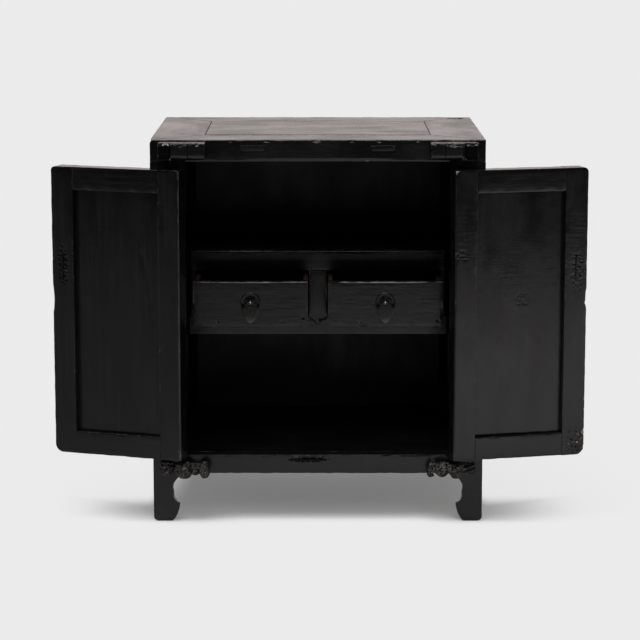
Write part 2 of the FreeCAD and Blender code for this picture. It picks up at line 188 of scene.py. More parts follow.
dome.step("ShaderNodeOutputWorld", Surface=shown.outputs[0])
print("world", world.name)

# %% [markdown]
# The floor is pale paper. In what the lacquer mirrors, and only there, the paper's colour is painted
# darker on the left and towards the camera: painted shade that stands in for a studio floor lit
# unevenly. That painted shade is why the right door is lighter than the left one, and why both are
# darkest at the top. The camera sees the paper as plain pale ground; only under and close behind the
# chest does the paper's own shade come through, so that the chest keeps its soft, short shadow.

# %% Floor
floor_half = 90
floor_mesh = bpy.data.meshes.new("floor")
corners = [(-floor_half, -floor_half, 0), (floor_half, -floor_half, 0),
           (floor_half, floor_half, 0), (-floor_half, floor_half, 0)]
floor_mesh.from_pydata(corners, [], [(0, 1, 2, 3)])
floor = put("floor", floor_mesh)
print("floor", 2 * floor_half, "m wide")

# %% Floor paint
paper_tone = (0.850, 0.855, 0.860, 1)
painted_shade_tone = (0.02, 0.02, 0.02, 1)
veil_under_chest = 0.205
veil_elsewhere = 0.93
floor_paint = bpy.data.materials.new("pale_floor")
ground = Recipe(floor_paint)
place = ground.step("ShaderNodeNewGeometry").outputs["Position"]
spot = ground.step("ShaderNodeSeparateXYZ", Vector=place)
x, y = spot.outputs["X"], spot.outputs["Y"]
path = ground.step("ShaderNodeLightPath")

# Painted shade: for glossy rays only, the floor's colour is darkened far in front, on the left and near the
# chest's front.
far = ground.spread(y, -2.3, -3.1)
left = ground.spread(x, 1.0, -1.3, 0.0, 0.74)
near = ground.spread(y, -0.95, -0.35, 0.0, 0.48)
in_front = ground.spread(y, 0.1, -0.35)
painted_floor_shade = ground.maths("MULTIPLY", ground.most(far, left, near), in_front)
shade_in_reflections = ground.maths("MULTIPLY", painted_floor_shade, path.outputs["Is Glossy Ray"])
matt = ground.step("ShaderNodeBsdfDiffuse", Color=ground.mix(shade_in_reflections, paper_tone, painted_shade_tone))

aside = ground.maths("ABSOLUTE", x, 0)
ahead = ground.spread(y, -0.17, -0.25)
beside = ground.spread(aside, 0.22, 0.57)
behind_side = ground.maths("MULTIPLY", ground.spread(y, -0.15, 0.02), ground.spread(aside, 0.29, 0.33))
beyond = ground.spread(y, 0.3, 1.0)
away = ground.most(ahead, beside, behind_side, beyond)
share = ground.spread(away, 0.0, 1.0, veil_under_chest, veil_elsewhere)
veil = ground.maths("MULTIPLY", path.outputs["Is Camera Ray"], share)
glow = ground.step("ShaderNodeEmission", Color=pale, Strength=1.0)
paper = ground.step("ShaderNodeMixShader", i0=veil, i1=matt.outputs[0], i2=glow.outputs[0])
ground.step("ShaderNodeOutputMaterial", Surface=paper.outputs[0])
floor_mesh.materials.append(floor_paint)
print("floor paint", floor_paint.name)


# %% Lamps
def soft_lamp(name, energy, spread_deg, aim):
    """A far lamp as wide as an angle, shining along aim."""
    lamp_data = bpy.data.lights.new(name, "SUN")
    lamp_data.energy = energy
    lamp_data.angle = math.radians(spread_deg)
    lamp = put(name, lamp_data)
    lamp.rotation_euler = Vector(aim).to_track_quat("-Z", "Y").to_euler()


soft_lamp("overhead_lamp", energy=2.70, spread_deg=40, aim=(0.15, 0.36, -0.92))
soft_lamp("front_lamp", energy=0.48, spread_deg=25, aim=(-0.10, 0.80, -0.60))
scene.view_settings.view_transform = "Standard"
print("two soft lamps")

# %% [markdown]
# ## Finishes
# Old lacquer isn't one flat black. It is a little browner where it is thin, it shows the grain as
# fine ridges, it is glossier where sleeves have rubbed it, and along the edges it is worn to the
# wood. Every board carries measures for this: `grain`, its own length, width and depth, so that
# streaks follow each board; `wear`, how much its edges have been rubbed, and in a few places a
# painted highlight as well; and `ripple`, where the plane chattered and left waves across the grain.

# %% Lacquer
bare_brown = (0.200, 0.150, 0.105, 1)
rubbed_grey = (0.036, 0.032, 0.029, 1)
grain_black = (0.003, 0.0027, 0.0025, 1)
mirror_tint = (1, 0.965, 0.995, 1)
bare_roughness = 0.62
carver_cuts = 210.0


def lacquer(name, deep, warm, gloss, mirror=0.5, wood=bare_brown, streak=grain_black, tooled=0.0):
    """Worn black lacquer over wood. gloss is its roughness, rubbed and dull; mirror its strength.
    streak colours the grain; tooled is how far the ridges between a carver's small cuts are rubbed.
    """
    paint = bpy.data.materials.new(name)
    r = Recipe(paint)
    grain = r.measure("grain", "Vector")
    ripple = r.measure("ripple")
    streaks = r.clouds(grain, (7, 170, 170), detail=5)
    fibres = r.clouds(grain, (45, 950, 950), detail=3)
    mottle = r.clouds(grain, (9, 17, 17), detail=5)
    specks = r.clouds(grain, (150, 210, 210), detail=6, roughness=0.7)
    waves = r.clouds(grain, (190, 24, 24), detail=3)
    dimples = r.clouds(grain, (26, 60, 60), detail=3)
    cuts = r.step("ShaderNodeTexVoronoi", {"feature": "DISTANCE_TO_EDGE"}, Vector=grain, Scale=carver_cuts)
    ridges = r.maths("MULTIPLY", r.spread(cuts.outputs["Distance"], 0.0, 0.20, 1.0, 0.0), tooled)
    wear = r.maths("ADD", r.measure("wear"), ridges)

    colour = r.mix(r.spread(mottle, 0.35, 0.75), deep, warm)
    colour = r.mix(r.spread(streaks, 0.45, 0.75, 0.0, 0.85), colour, streak)
    frayed = r.maths("ADD", wear, r.spread(specks, 0.25, 0.75, -0.45, 0.45))
    bare = r.spread(frayed, 1.0, 1.25)
    colour = r.mix(r.spread(frayed, 0.62, 0.95), colour, rubbed_grey)
    colour = r.mix(bare, colour, wood)

    patches = r.maths("ADD", mottle, r.maths("MULTIPLY", specks, 0.5))
    shine = r.spread(patches, 0.5, 1.0, *gloss)
    rough = r.step("ShaderNodeMix", {"data_type": "FLOAT"}, i0=bare, i2=shine, i3=bare_roughness)
    height = r.maths("MULTIPLY", streaks, 0.28)
    layers = ((fibres, 0.16), (specks, 0.14), (dimples, 0.7), (waves, ripple), (ridges, 2.0))
    for layer, share in layers:
        height = r.maths("ADD", height, r.maths("MULTIPLY", layer, share))
    bump = r.step("ShaderNodeBump", Strength=0.6, Distance=0.0007, Height=height)
    shader = r.step("ShaderNodeBsdfPrincipled", Base_Color=colour, Roughness=rough.outputs[0],
                    Specular_Tint=mirror_tint, Specular_IOR_Level=mirror, Normal=bump.outputs[0])
    r.step("ShaderNodeOutputMaterial", Surface=shader.outputs[0])
    return paint


case_lacquer = lacquer("case_lacquer", deep=(0.0032, 0.0031, 0.0031, 1),
                       warm=(0.0060, 0.0053, 0.0050, 1), gloss=(0.16, 0.29))
door_lacquer = lacquer("door_lacquer", deep=(0.0026, 0.0025, 0.0026, 1),
                       warm=(0.0050, 0.0045, 0.0046, 1), gloss=(0.14, 0.27),
                       streak=(0.0074, 0.0066, 0.0067, 1))
inner_lacquer = lacquer("inner_lacquer", deep=(0.0016, 0.0016, 0.0020, 1),
                        warm=(0.0026, 0.0024, 0.0026, 1), gloss=(0.42, 0.60))
# Near-black, dull lacquer: painted shade where doors, posts and recesses keep light off, and dark joints.
shade_and_joint_lacquer = lacquer("shade_and_joint_lacquer", deep=(0.0006, 0.0006, 0.0009, 1),
                            warm=(0.0010, 0.0010, 0.0013, 1), gloss=(0.50, 0.70), mirror=0.06)
carved_lacquer = lacquer("carved_lacquer", deep=(0.0030, 0.0028, 0.0027, 1),
                         warm=(0.0050, 0.0045, 0.0042, 1), gloss=(0.26, 0.40), mirror=0.24,
                         wood=(0.105, 0.100, 0.095, 1), tooled=0.98)
lacquers = (case_lacquer, door_lacquer, inner_lacquer, shade_and_joint_lacquer, carved_lacquer)
print("lacquers:", [paint.name for paint in lacquers])

# %% [markdown]
# ## Bare wood and dark metal
# The drawers' sides and bottoms were never lacquered: they are dry brown wood, darker in the
# pores. The pulls are old brass under a brown-black skin, rubbed brighter on their high places.

# %% Bare wood
wood_light = (0.130, 0.074, 0.047, 1)
wood_dark = (0.060, 0.032, 0.021, 1)
wood_stain = (0.052, 0.027, 0.020, 1)
wood_pore = (0.030, 0.014, 0.010, 1)
wood_rubbed = (0.20, 0.115, 0.078, 1)
wood_near_black = (0.004, 0.0025, 0.002, 1)


def bare_wood(name, tone):
    """Dry, unfinished brown wood. tone darkens it towards near black."""
    paint = bpy.data.materials.new(name)
    r = Recipe(paint)
    grain = r.measure("grain", "Vector")
    streaks = r.clouds(grain, (6, 130, 130), detail=6)
    pores = r.clouds(grain, (60, 1300, 1300), detail=2)
    mottle = r.clouds(grain, (9, 14, 14), detail=4)
    colour = r.mix(r.spread(streaks, 0.3, 0.7), wood_light, wood_dark)
    colour = r.mix(r.spread(mottle, 0.4, 0.8, 0.0, 0.6), colour, wood_stain)
    colour = r.mix(r.spread(pores, 0.58, 0.72, 0.0, 0.7), colour, wood_pore)
    colour = r.mix(r.spread(r.measure("wear"), 0.4, 1.0, 0.0, 0.5), colour, wood_rubbed)
    colour = r.mix(tone, colour, wood_near_black)
    height = r.maths("ADD", r.maths("MULTIPLY", streaks, 0.5), r.maths("MULTIPLY", pores, 0.4))
    bump = r.step("ShaderNodeBump", Strength=0.6, Distance=0.0007, Height=height)
    shader = r.step("ShaderNodeBsdfPrincipled", Base_Color=colour,
                    Roughness=r.spread(streaks, 0.3, 0.7, 0.62, 0.82), Normal=bump.outputs[0])
    r.step("ShaderNodeOutputMaterial", Surface=shader.outputs[0])
    return paint


side_wood = bare_wood("bare_side_wood", 0.1)
dusky_wood = bare_wood("bare_dusky_wood", 0.8)
print("bare woods:", side_wood.name, dusky_wood.name)

# %% Dark metal
skin_black = (0.022, 0.022, 0.022, 1)
skin_brown = (0.036, 0.034, 0.032, 1)
rubbed_brass = (0.30, 0.285, 0.26, 1)


def dark_metal(name):
    """Old brass under a dark skin."""
    paint = bpy.data.materials.new(name)
    r = Recipe(paint)
    grain = r.measure("grain", "Vector")
    blotches = r.clouds(grain, (160, 160, 160), detail=5, roughness=0.6)
    pocks = r.clouds(grain, (900, 900, 900), detail=3)
    colour = r.mix(r.spread(blotches, 0.35, 0.7), skin_black, skin_brown)
    colour = r.mix(r.spread(r.measure("wear"), 0.45, 1.0), colour, rubbed_brass)
    height = r.maths("ADD", blotches, r.maths("MULTIPLY", pocks, 0.5))
    bump = r.step("ShaderNodeBump", Strength=0.35, Distance=0.00025, Height=height)
    shader = r.step("ShaderNodeBsdfPrincipled", Base_Color=colour, Metallic=0.9,
                    Roughness=r.spread(blotches, 0.3, 0.75, 0.16, 0.34), Normal=bump.outputs[0])
    r.step("ShaderNodeOutputMaterial", Surface=shader.outputs[0])
    return paint


pull_metal = dark_metal("dark_pull_metal")
print("metal:", pull_metal.name)

# %% [markdown]
# ## How a board is worn
# A planed board has sharp arrises, and an old one hasn't. Each board starts as its own shape from
# the frame. Its arrises are rounded, its faces are sliced into a grid fine enough to bend, and the
# grid is pushed in a little: by slow waves, as a hand plane leaves them, and more at the arrises.
# Doors are worked on as if they were shut, so that their boards lie square to the axes.

# %% Board helpers
weld = 1e-6
flat_angle = math.radians(0.5)
sharp_angle = math.radians(28)


def squared(node):
    """Matrix that brings a node to where its boards lie square: door pieces are swung shut."""
    if "_door_" not in node:
        return Matrix.Identity(4)
    hinge = joints[node.split("_")[0] + "_door_hinge"]
    pivot = Matrix.Translation(Vector(hinge["pos_m"]))
    turn = Matrix.Rotation(math.radians(hinge["range_deg"][1]), 4, Vector(hinge["axis"]))
    return pivot @ turn @ pivot.inverted()


def cad_copy(node):
    """The node's own shape as an editable mesh, square to the axes, with flat faces made whole."""
    bm = bmesh.new()
    bm.from_mesh(frame["nodes"][node].data)
    bm.transform(squared(node))
    bmesh.ops.remove_doubles(bm, verts=bm.verts, dist=weld)
    bmesh.ops.dissolve_limit(bm, angle_limit=flat_angle, verts=bm.verts, edges=bm.edges)
    return bm


def square_box(node):
    """Low and high corner of a node where it lies square."""
    turn = squared(node)
    places = np.array([turn @ vert.co for vert in frame["nodes"][node].data.vertices])
    return Vector(places.min(0)), Vector(places.max(0))


def round_arrises(bm, radius):
    """Rounds every outward corner of a board."""
    sharp = [edge for edge in bm.edges
             if edge.is_manifold and edge.is_convex and edge.calc_face_angle() > sharp_angle]
    bmesh.ops.bevel(bm, geom=sharp, offset=radius, offset_type="OFFSET", segments=2, profile=0.6,
                    affect="EDGES", clamp_overlap=True)


def slice_board(bm, step, band, finer):
    """Cuts a board's faces into a grid. finer adds closer cuts: axis, from, to, step."""
    places = np.array([vert.co for vert in bm.verts])
    low, high = places.min(0), places.max(0)
    for axis in range(3):
        span = high[axis] - low[axis]
        count = max(1, round(span / step))
        cuts = [low[axis] + span * turn / count for turn in range(1, count)]
        if span > 3 * band:
            cuts += [low[axis] + band, high[axis] - band]
        for which, start, end, close in finer:
            if which == axis:
                cuts += list(np.arange(start, end, close))
        along = Vector([1.0 if each == axis else 0.0 for each in range(3)])
        for cut in cuts:
            bmesh.ops.bisect_plane(bm, geom=bm.verts[:] + bm.edges[:] + bm.faces[:], dist=weld,
                                   plane_co=along * cut, plane_no=along)
    return low, high


left_front_post_box = square_box("left_front_post")
print("left front post from", left_front_post_box[0], "to", left_front_post_box[1])


# %% Mesh helpers
def as_mesh(bm, name):
    """Closes an editable mesh and keeps its shape."""
    mesh = bpy.data.meshes.new(name)
    bm.to_mesh(mesh)
    bm.free()
    return mesh


def places_of(mesh):
    """Where each vertex of a mesh lies."""
    places = np.empty(len(mesh.vertices) * 3)
    mesh.vertices.foreach_get("co", places)
    return places.reshape(-1, 3)


def move_to(mesh, places):
    """Moves each vertex of a mesh."""
    mesh.vertices.foreach_set("co", places.ravel())
    mesh.update()


def normals_of(mesh):
    """The outward direction at each vertex of a mesh."""
    return np.array([normal.vector for normal in mesh.vertex_normals])


def waves_at(places, pitch, seed):
    """Smooth noise, from -1 to 1, at each place. pitch is in waves per metre."""
    shift = Vector((seed * 7.3, seed * 3.1, seed * 5.7))
    return np.array([noise.noise(Vector(place) * pitch + shift) for place in places])


def from_outside(side, places, low, high):
    """How far in from the chest's side each place lies, and the way inwards along x."""
    if side == "left":
        return places[:, 0] - low[0], 1
    return high[0] - places[:, 0], -1


print("mesh helpers ready")


# %% Dents and pits
def dent(at, reach, push, wear):
    """A place where a board is pushed in: its middle, its reach each way, the push, its wear."""
    return {"at": np.array(at), "reach": np.array(reach), "push": np.array(push), "wear": wear}


def pits(seed, low, high, count, size, push, wear):
    """Small dents scattered between two corners. size is the smallest and largest reach."""
    dice = random.Random(seed)
    found = []
    for _ in range(count):
        at = [dice.uniform(low[axis], high[axis]) for axis in range(3)]
        reach = dice.uniform(*size)
        found.append(dent(at, (reach, reach, reach), Vector(push) * dice.uniform(0.3, 1.0), wear))
    return found


def pits_round(seed, at, half, count, size, push, wear):
    """Small dents scattered round a place."""
    return pits(seed, at - half, at + half, count, size, push, wear)


def round_off(across, up, radius):
    """Pushes that bring places beyond a rounded corner back onto it. across and up run inwards."""
    across, up = radius - across, radius - up
    reach = np.hypot(across, up)
    outside = (across > 0) & (up > 0) & (reach > radius)
    share = np.where(outside, (reach - radius) / np.maximum(reach, weld), 0)
    return across * share, up * share


def share_of(places, at, reach):
    """How much each place belongs to a soft-edged egg, from 0 to 1."""
    return np.clip(1 - (((places - at) / reach) ** 2).sum(1), 0, 1)


print("dent helpers ready")

# %% Keep a piece
shade_angle = math.radians(38)


def measures(mesh, order, wear, ripple, seed):
    """Writes the grain, wear and ripple measures that the finishes read."""
    places = places_of(mesh)[:, order] + np.array([seed * 1.7, seed * 0.9, seed * 2.3])
    mesh.attributes.new("grain", "FLOAT_VECTOR", "POINT").data.foreach_set(
        "vector", places.astype(np.float32).ravel())
    for name, values in (("wear", wear), ("ripple", ripple)):
        mesh.attributes.new(name, "FLOAT", "POINT").data.foreach_set(
            "value", np.asarray(values, np.float32))


def keep(name, mesh, node, paint):
    """A finished mesh as a piece that stands for a node and moves with the node's body."""
    mesh.materials.clear()
    mesh.materials.append(paint)
    mesh.polygons.foreach_set("use_smooth", [True] * len(mesh.polygons))
    mesh.set_sharp_from_angle(angle=shade_angle)
    piece = put(name, mesh)
    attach(piece, body_of_node[node])
    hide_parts(node)
    return piece


def paint_shade_and_joints(piece, where):
    """Gives some faces of a piece a dull, near-black finish: painted shade where doors, posts and recesses keep
    light off, and dark joints.
    """
    piece.data.materials.append(shade_and_joint_lacquer)
    for face in piece.data.polygons:
        if where(face.center):
            face.material_index = 1


print("helpers for keeping pieces ready")

# %% Worn boards
edge_band = 3.5 * mm
plane_pitch = 9
broad_pitch = 55
fine_pitch = 170


def worn_board(node, paint, arris=1.0 * mm, step=9 * mm, sag=0.25 * mm, rub=0.7 * mm, dents=(),
               finer=(), ripples=(), shave=None):
    """Makes a node's board with rounded, rubbed arrises and slightly uneven faces."""
    seed = 1 + list(body_of_node).index(node)
    bm = cad_copy(node)
    round_arrises(bm, arris)
    low, high = slice_board(bm, step, edge_band, finer)
    mesh = as_mesh(bm, node)

    places = places_of(mesh)
    inset = np.sort(np.minimum(places - low, high - places), axis=1)[:, 1]
    edge = np.exp(-(inset / edge_band) ** 2)
    slow = 0.5 + 0.5 * waves_at(places, plane_pitch, seed)
    fine = waves_at(places, fine_pitch, seed)
    uneven = np.clip(0.45 + waves_at(places, broad_pitch, seed) + 0.5 * fine, 0, 1.4)
    wear = edge * (0.30 + 0.50 * uneven)
    moved = places - normals_of(mesh) * (sag * slow + rub * edge * uneven)[:, None]
    if shave:
        push, rubbed = shave(places, low, high)
        moved += push
        wear += rubbed
    for each in dents:
        share = share_of(places, each["at"], each["reach"]) ** 0.7
        moved += each["push"] * share[:, None]
        wear += each["wear"] * share
    ripple = np.zeros(len(places))
    for at, reach, strength in ripples:
        ripple += strength * share_of(places, np.array(at), np.array(reach)) ** 0.5
    move_to(mesh, moved)
    measures(mesh, list(np.argsort(high - low)[::-1]), wear, ripple, seed)
    mesh.transform(squared(node).inverted())
    mesh.update()
    return keep("worn_" + node, mesh, node, paint)


print("boards are worn in a band", edge_band / mm, "mm wide")

# %% [markdown]
# ## The case
# The case is a frame of posts and rails with thin boards let into grooves. The outside boards were
# knocked and rubbed for generations, so their arrises are soft and chipped. The boards inside were
# hardly touched, and stay nearly sharp and dull.


# %% Places on the chest
def on_front(node, u, v):
    """Place on a board's front face at a pixel of the photograph."""
    return at_pixel(u, v, square_box(node)[0], Vector((0, -1, 0)))


def on_top(u, v):
    """Place on the chest's top at a pixel of the photograph."""
    return at_pixel(u, v, square_box("top_panel")[1], Vector((0, 0, 1)))


def on_door(node, u, v):
    """Place on the inner face of a door's board, where the board lies square."""
    back = squared(node).inverted()
    high = square_box(node)[1]
    place = at_pixel(u, v, back @ high, back.to_3x3() @ Vector((0, 1, 0)))
    return squared(node) @ place


def around(place, axis, half, close):
    """Close cuts on both sides of a place along one axis."""
    return (axis, place[axis] - half, place[axis] + half, close)


back_corner_px = (171, 117)
print("the top's left back corner lies at", on_top(*back_corner_px))

# %% Inside boards
hidden_boards = ["back_wall", "drawer_deck", "shelf_board", "bank_bearers", "floor_battens",
                 "bottom_back_rail", "floor_panel"]
for node in hidden_boards:
    # The floor panel, deep inside the case, gets the near-black painted shade.
    paint = shade_and_joint_lacquer if node == "floor_panel" else inner_lacquer
    worn_board(node, paint, arris=0.4 * mm, step=20 * mm, sag=0.05 * mm, rub=0.1 * mm)
outer_boards = ["bank_end_boards", "left_side_wall", "right_side_wall", "top_battens",
                "bottom_side_rails"]
for node in outer_boards:
    worn_board(node, case_lacquer, arris=0.4 * mm, step=14 * mm, sag=0.15 * mm, rub=0.2 * mm)
worn_board("drawer_guide", dusky_wood, arris=0.5 * mm, step=14 * mm)
print(len(hidden_boards) + len(outer_boards) + 1, "thin boards")

# %% [markdown]
# The top is a mitred frame round a floating panel. Its front arris has a row of nicks, its left
# front corner is knocked round and its back corners are chipped. The rail's lower edge, where hands
# caught the doors, is rubbed bright. The ends of two tenons show as dark joints in the rail.

# %% Front of the top
arris_v = 141
nick_pixels = (172, 196, 231, 267, 317, 352, 380, 418, 447, 474)
nick_reaches = (5, 4, 4, 6, 8, 5, 6, 4, 6, 5)
nick_dents = []
for pixel, reach in zip(nick_pixels, nick_reaches):
    at = on_front("top_front_rail", pixel, arris_v)
    nick_dents.append(dent(at, (reach * mm, 4 * mm, 3.5 * mm), (0, 1.0 * mm, -0.8 * mm), 0.3))
top_low, top_high = square_box("top_front_rail")
corner_round = 9 * mm
corner_depth = 30 * mm


def knocked_corner(places, low, high):
    """Rounds the top's left front corner, less and less towards the back."""
    push = np.zeros_like(places)
    push[:, 0], drop = round_off(places[:, 0] - top_low.x, top_high.z - places[:, 2], corner_round)
    push[:, 2] = -drop
    fade = np.clip(1 - (places[:, 1:2] - top_low.y) / corner_depth, 0, 1)
    return push * fade, np.zeros(len(places))


low_edge_px = (320, 162)
low_edge = on_front("top_front_rail", *low_edge_px)
rubbed_edge = dent(low_edge, (240 * mm, 5 * mm, 4 * mm), (0, 0.7 * mm, 0.5 * mm), 0.2)
corner_cuts = [(0, top_low.x + 1 * mm, top_low.x + 10 * mm, 1.5 * mm),
               (2, top_high.z - 10 * mm, top_high.z - 1 * mm, 1.5 * mm)]
rail = worn_board("top_front_rail", case_lacquer, arris=1.4 * mm, step=4 * mm, sag=0.4 * mm,
                  dents=nick_dents + [rubbed_edge], shave=knocked_corner, finer=corner_cuts)
batten_places = [vert.co for vert in frame["nodes"]["top_battens"].data.vertices]
tenon_ends = [place for place in batten_places if place.y < top_low.y + 3 * mm]
tenon_low = min(end.z for end in tenon_ends)
tenon_in = min(abs(end.x) for end in tenon_ends) - 2 * mm
tenon_out = max(abs(end.x) for end in tenon_ends) + 2 * mm
paint_shade_and_joints(rail, lambda at: abs(at.z - tenon_low) < 2.2 * mm and tenon_in < abs(at.x) < tenon_out)
print("top's front with", len(nick_dents), "nicks and tenons at", tenon_in, "to", tenon_out)

# %% Sides, back and panel of the top
right_chip_px = (454, 118.6)
left_chip_px = (179, 118.6)
right_chip = on_top(*right_chip_px)
left_chip = on_top(*left_chip_px)
right_half = Vector((13, 4, 1)) * mm
left_half = Vector((6, 2, 1)) * mm
chip_dents = pits_round(5, right_chip, right_half, 18, (4 * mm, 7 * mm), (0, 0, -3.0 * mm), 0.1)
chip_dents += pits_round(6, left_chip, left_half, 6, (3 * mm, 5 * mm), (0, 0, -1.6 * mm), 0.1)
chip_cuts = [around(right_chip, 0, 18 * mm, 2 * mm), around(right_chip, 1, 11 * mm, 1.5 * mm),
             around(left_chip, 0, 10 * mm, 2 * mm)]
for node in ("top_right_rail", "top_back_rail"):
    worn_board(node, case_lacquer, arris=1.4 * mm, step=5 * mm, sag=0.4 * mm, dents=chip_dents,
               finer=chip_cuts)
worn_board("top_left_rail", case_lacquer, arris=1.4 * mm, step=5 * mm, sag=0.4 * mm,
           shave=knocked_corner, finer=corner_cuts)
joint = top_high.y + 3.2 * mm
panel = worn_board("top_panel", case_lacquer, arris=0.8 * mm, step=9 * mm, sag=0.4 * mm, rub=0.4 * mm,
                   finer=[(1, joint, joint + 1 * mm, 2 * mm)])
paint_shade_and_joints(panel, lambda at: at.y < joint)
print("top with", len(chip_dents), "chips at its back corners")

# %% [markdown]
# The posts run down into hoof feet, whose soles are rounded by dragging. Inside the doorway, where the
# doors keep light off, the posts get a painted shade: near black and dull. The bottom rail has lost a
# long splinter of its upper edge, where the doors strike it. Its shallow lens is painted dark as shade,
# under a torn ridge whose lighter colour is partly bared wood and partly a painted highlight.

# %% Posts
sole_round = 11 * mm
hoof_neck = 36 * mm
hoof_high = 56 * mm


def rounded_sole(side, front_foot):
    """Rounds a foot's outer lower corner, seen from the front, and tapers its toe towards the back."""

    def shave(places, low, high):
        gap, way = from_outside(side, places, low, high)
        push = np.zeros_like(places)
        across, push[:, 2] = round_off(gap, places[:, 2], sole_round)
        push[:, 0] = way * across
        depth = places[:, 1] - low[1] if front_foot else high[1] - places[:, 1]
        toe = np.clip(gap - hoof_neck, 0, None) * (places[:, 2] < hoof_high)
        push[:, 0] -= way * toe * np.clip((depth - 14 * mm) / (18 * mm), 0, 1)
        return push, np.zeros(len(places))

    return shave


doorway_shade_half = square_box("right_front_post")[1].x - 46 * mm
rail_top = square_box("bottom_front_rail")[1].z
door_top = square_box("left_door_top_rail")[1].z + 6 * mm
post_back = square_box("left_back_post")[1].y - 3 * mm


def in_doorway(at):
    """Whether a place of a post lies inside the doorway, where the doors shade it and it gets painted shade."""
    return abs(at.x) < doorway_shade_half and rail_top < at.z < door_top and at.y < post_back


# The posts' faces inside the doorway get painted shade.
for side in ("left", "right"):
    for place, step in (("_front_post", 6 * mm), ("_back_post", 9 * mm)):
        low, high = square_box(side + place)
        edge = (low.x, low.x + 10 * mm) if side == "left" else (high.x - 10 * mm, high.x)
        post = worn_board(side + place, case_lacquer, arris=1.4 * mm, step=step, rub=0.8 * mm,
                          shave=rounded_sole(side, place == "_front_post"),
                          finer=[(2, 1 * mm, 11 * mm, 1.4 * mm), (0, *edge, 1.4 * mm)])
        paint_shade_and_joints(post, in_doorway)
print("posts, dull within", doorway_shade_half, "m of the middle")

# %% Bottom rail
splinter_px = (308, 459)
ridge_v = 455.8
ridge_pixels = (297, 308, 320)
ridge_reaches = (9, 12, 7)
splinter_half = 34 * mm
splinter_high = 4.6 * mm
splinter = on_front("bottom_front_rail", *splinter_px)
splinter_dents = [dent(splinter, (35 * mm, 12 * mm, splinter_high), (0, 2.0 * mm, 0), 0)]
# The torn ridge above the lens is lighter: partly bared wood, partly a painted highlight.
for pixel, reach in zip(ridge_pixels, ridge_reaches):
    at = on_front("bottom_front_rail", pixel, ridge_v)
    splinter_dents.append(dent(at, (reach * mm, 6 * mm, 1.8 * mm), (0, 0.7 * mm, -0.3 * mm), 0.5))
rail = worn_board("bottom_front_rail", case_lacquer, arris=0.7 * mm, step=6 * mm, dents=splinter_dents,
                  finer=[around(splinter, 0, 42 * mm, 1.8 * mm), around(splinter, 2, 9 * mm, 1.1 * mm)])


def in_splinter(at):
    """Whether a place of the bottom rail lies in the ragged lens."""
    across = (at.x - splinter.x) / splinter_half
    up = (at.z - splinter.z + 1.2 * mm) / splinter_high
    ragged = 1 + 1.1 * noise.noise(at * 260)
    return across ** 2 + up ** 2 < ragged and at.y < splinter.y + 6 * mm


# The splinter's hollow lens gets painted shade.
paint_shade_and_joints(rail, in_splinter)
print("bottom rail with a splinter at", splinter)

# %% [markdown]
# The drawer bank is a small frame of its own: two rails, a divider with a pointed shoulder and two
# end boards. Its top edge is worn to red-brown wood on the left, where hands reached in.

# %% Drawer bank
hand_wear_px = (249, 250.5)
hand_wear = on_front("bank_top_rail", *hand_wear_px)
hand_dents = [dent(hand_wear, (80 * mm, 6 * mm, 3 * mm), (0, 0.2 * mm, -0.4 * mm), 1.0)]
bank_end = square_box("bank_end_boards")[1].x
bank = [worn_board("bank_top_rail", case_lacquer, arris=1.7 * mm, step=6 * mm, dents=hand_dents)]
bank.append(worn_board("bank_low_rail", case_lacquer, arris=0.6 * mm, step=6 * mm, rub=0.3 * mm))
bank.append(worn_board("bank_divider", case_lacquer, arris=0.5 * mm, step=6 * mm, rub=0.3 * mm))
# Beyond the end boards, where the posts keep light off, the rails get painted shade.
for board in bank:
    paint_shade_and_joints(board, lambda at: abs(at.x) > bank_end)
print("drawer bank of", [board.name for board in bank])

# %% [markdown]
# ## The doors
# Each door is a frame of two stiles and two rails round a thin panel. The hinge stile is rounded off
# where it turns past the post. On the inside of each meeting stile the pull's pin comes through and
# is clinched, and the wood round it is torn. The right door was planed across its curly grain, so
# waves of chatter run over it; a knot shows in its panel.

# %% Door helpers
door_low = square_box("left_door_low_rail")[0].z - 1 * mm
door_high = square_box("left_door_top_rail")[1].z + 1 * mm
inward = Vector((0, -1, 0)) * mm
hinge_ease = 1.4 * mm
hinge_wear = {"left": 0.30, "right": 0.0}


def eased_hinge_edge(side):
    """Slants the hinge stile's edge inwards and wears its arris in patches."""

    def shave(places, low, high):
        gap, way = from_outside(side, places, low, high)
        inner = np.clip((places[:, 1] - low[1]) / (high[1] - low[1]) * 2 - 1, 0, 1)
        inside = np.all((places > low - weld) & (places < high + weld), axis=1)
        board = (places[:, 2] > door_low) & (places[:, 2] < door_high) & inside
        push = np.zeros_like(places)
        push[:, 0] = way * hinge_ease * inner * board * np.clip(1 - gap / (9 * mm), 0, 1)
        patchy = np.clip(0.25 + waves_at(places, 40, 3), 0, 1)
        arris = np.exp(-(gap / (1.4 * mm)) ** 2) * (inner > 0.85) * board
        return push, hinge_wear[side] * arris * patchy

    return shave


def at_peg(at):
    """Whether a place of a hinge stile lies on a peg or on the stile's end beside it."""
    pivots = [Vector(joints[side + "_door_hinge"]["pos_m"]) for side in ("left", "right")]
    beside = min((at - pivot).xy.length for pivot in pivots)
    return not door_low < at.z < door_high or (beside < 15 * mm and at.z > door_high - 2.5 * mm)


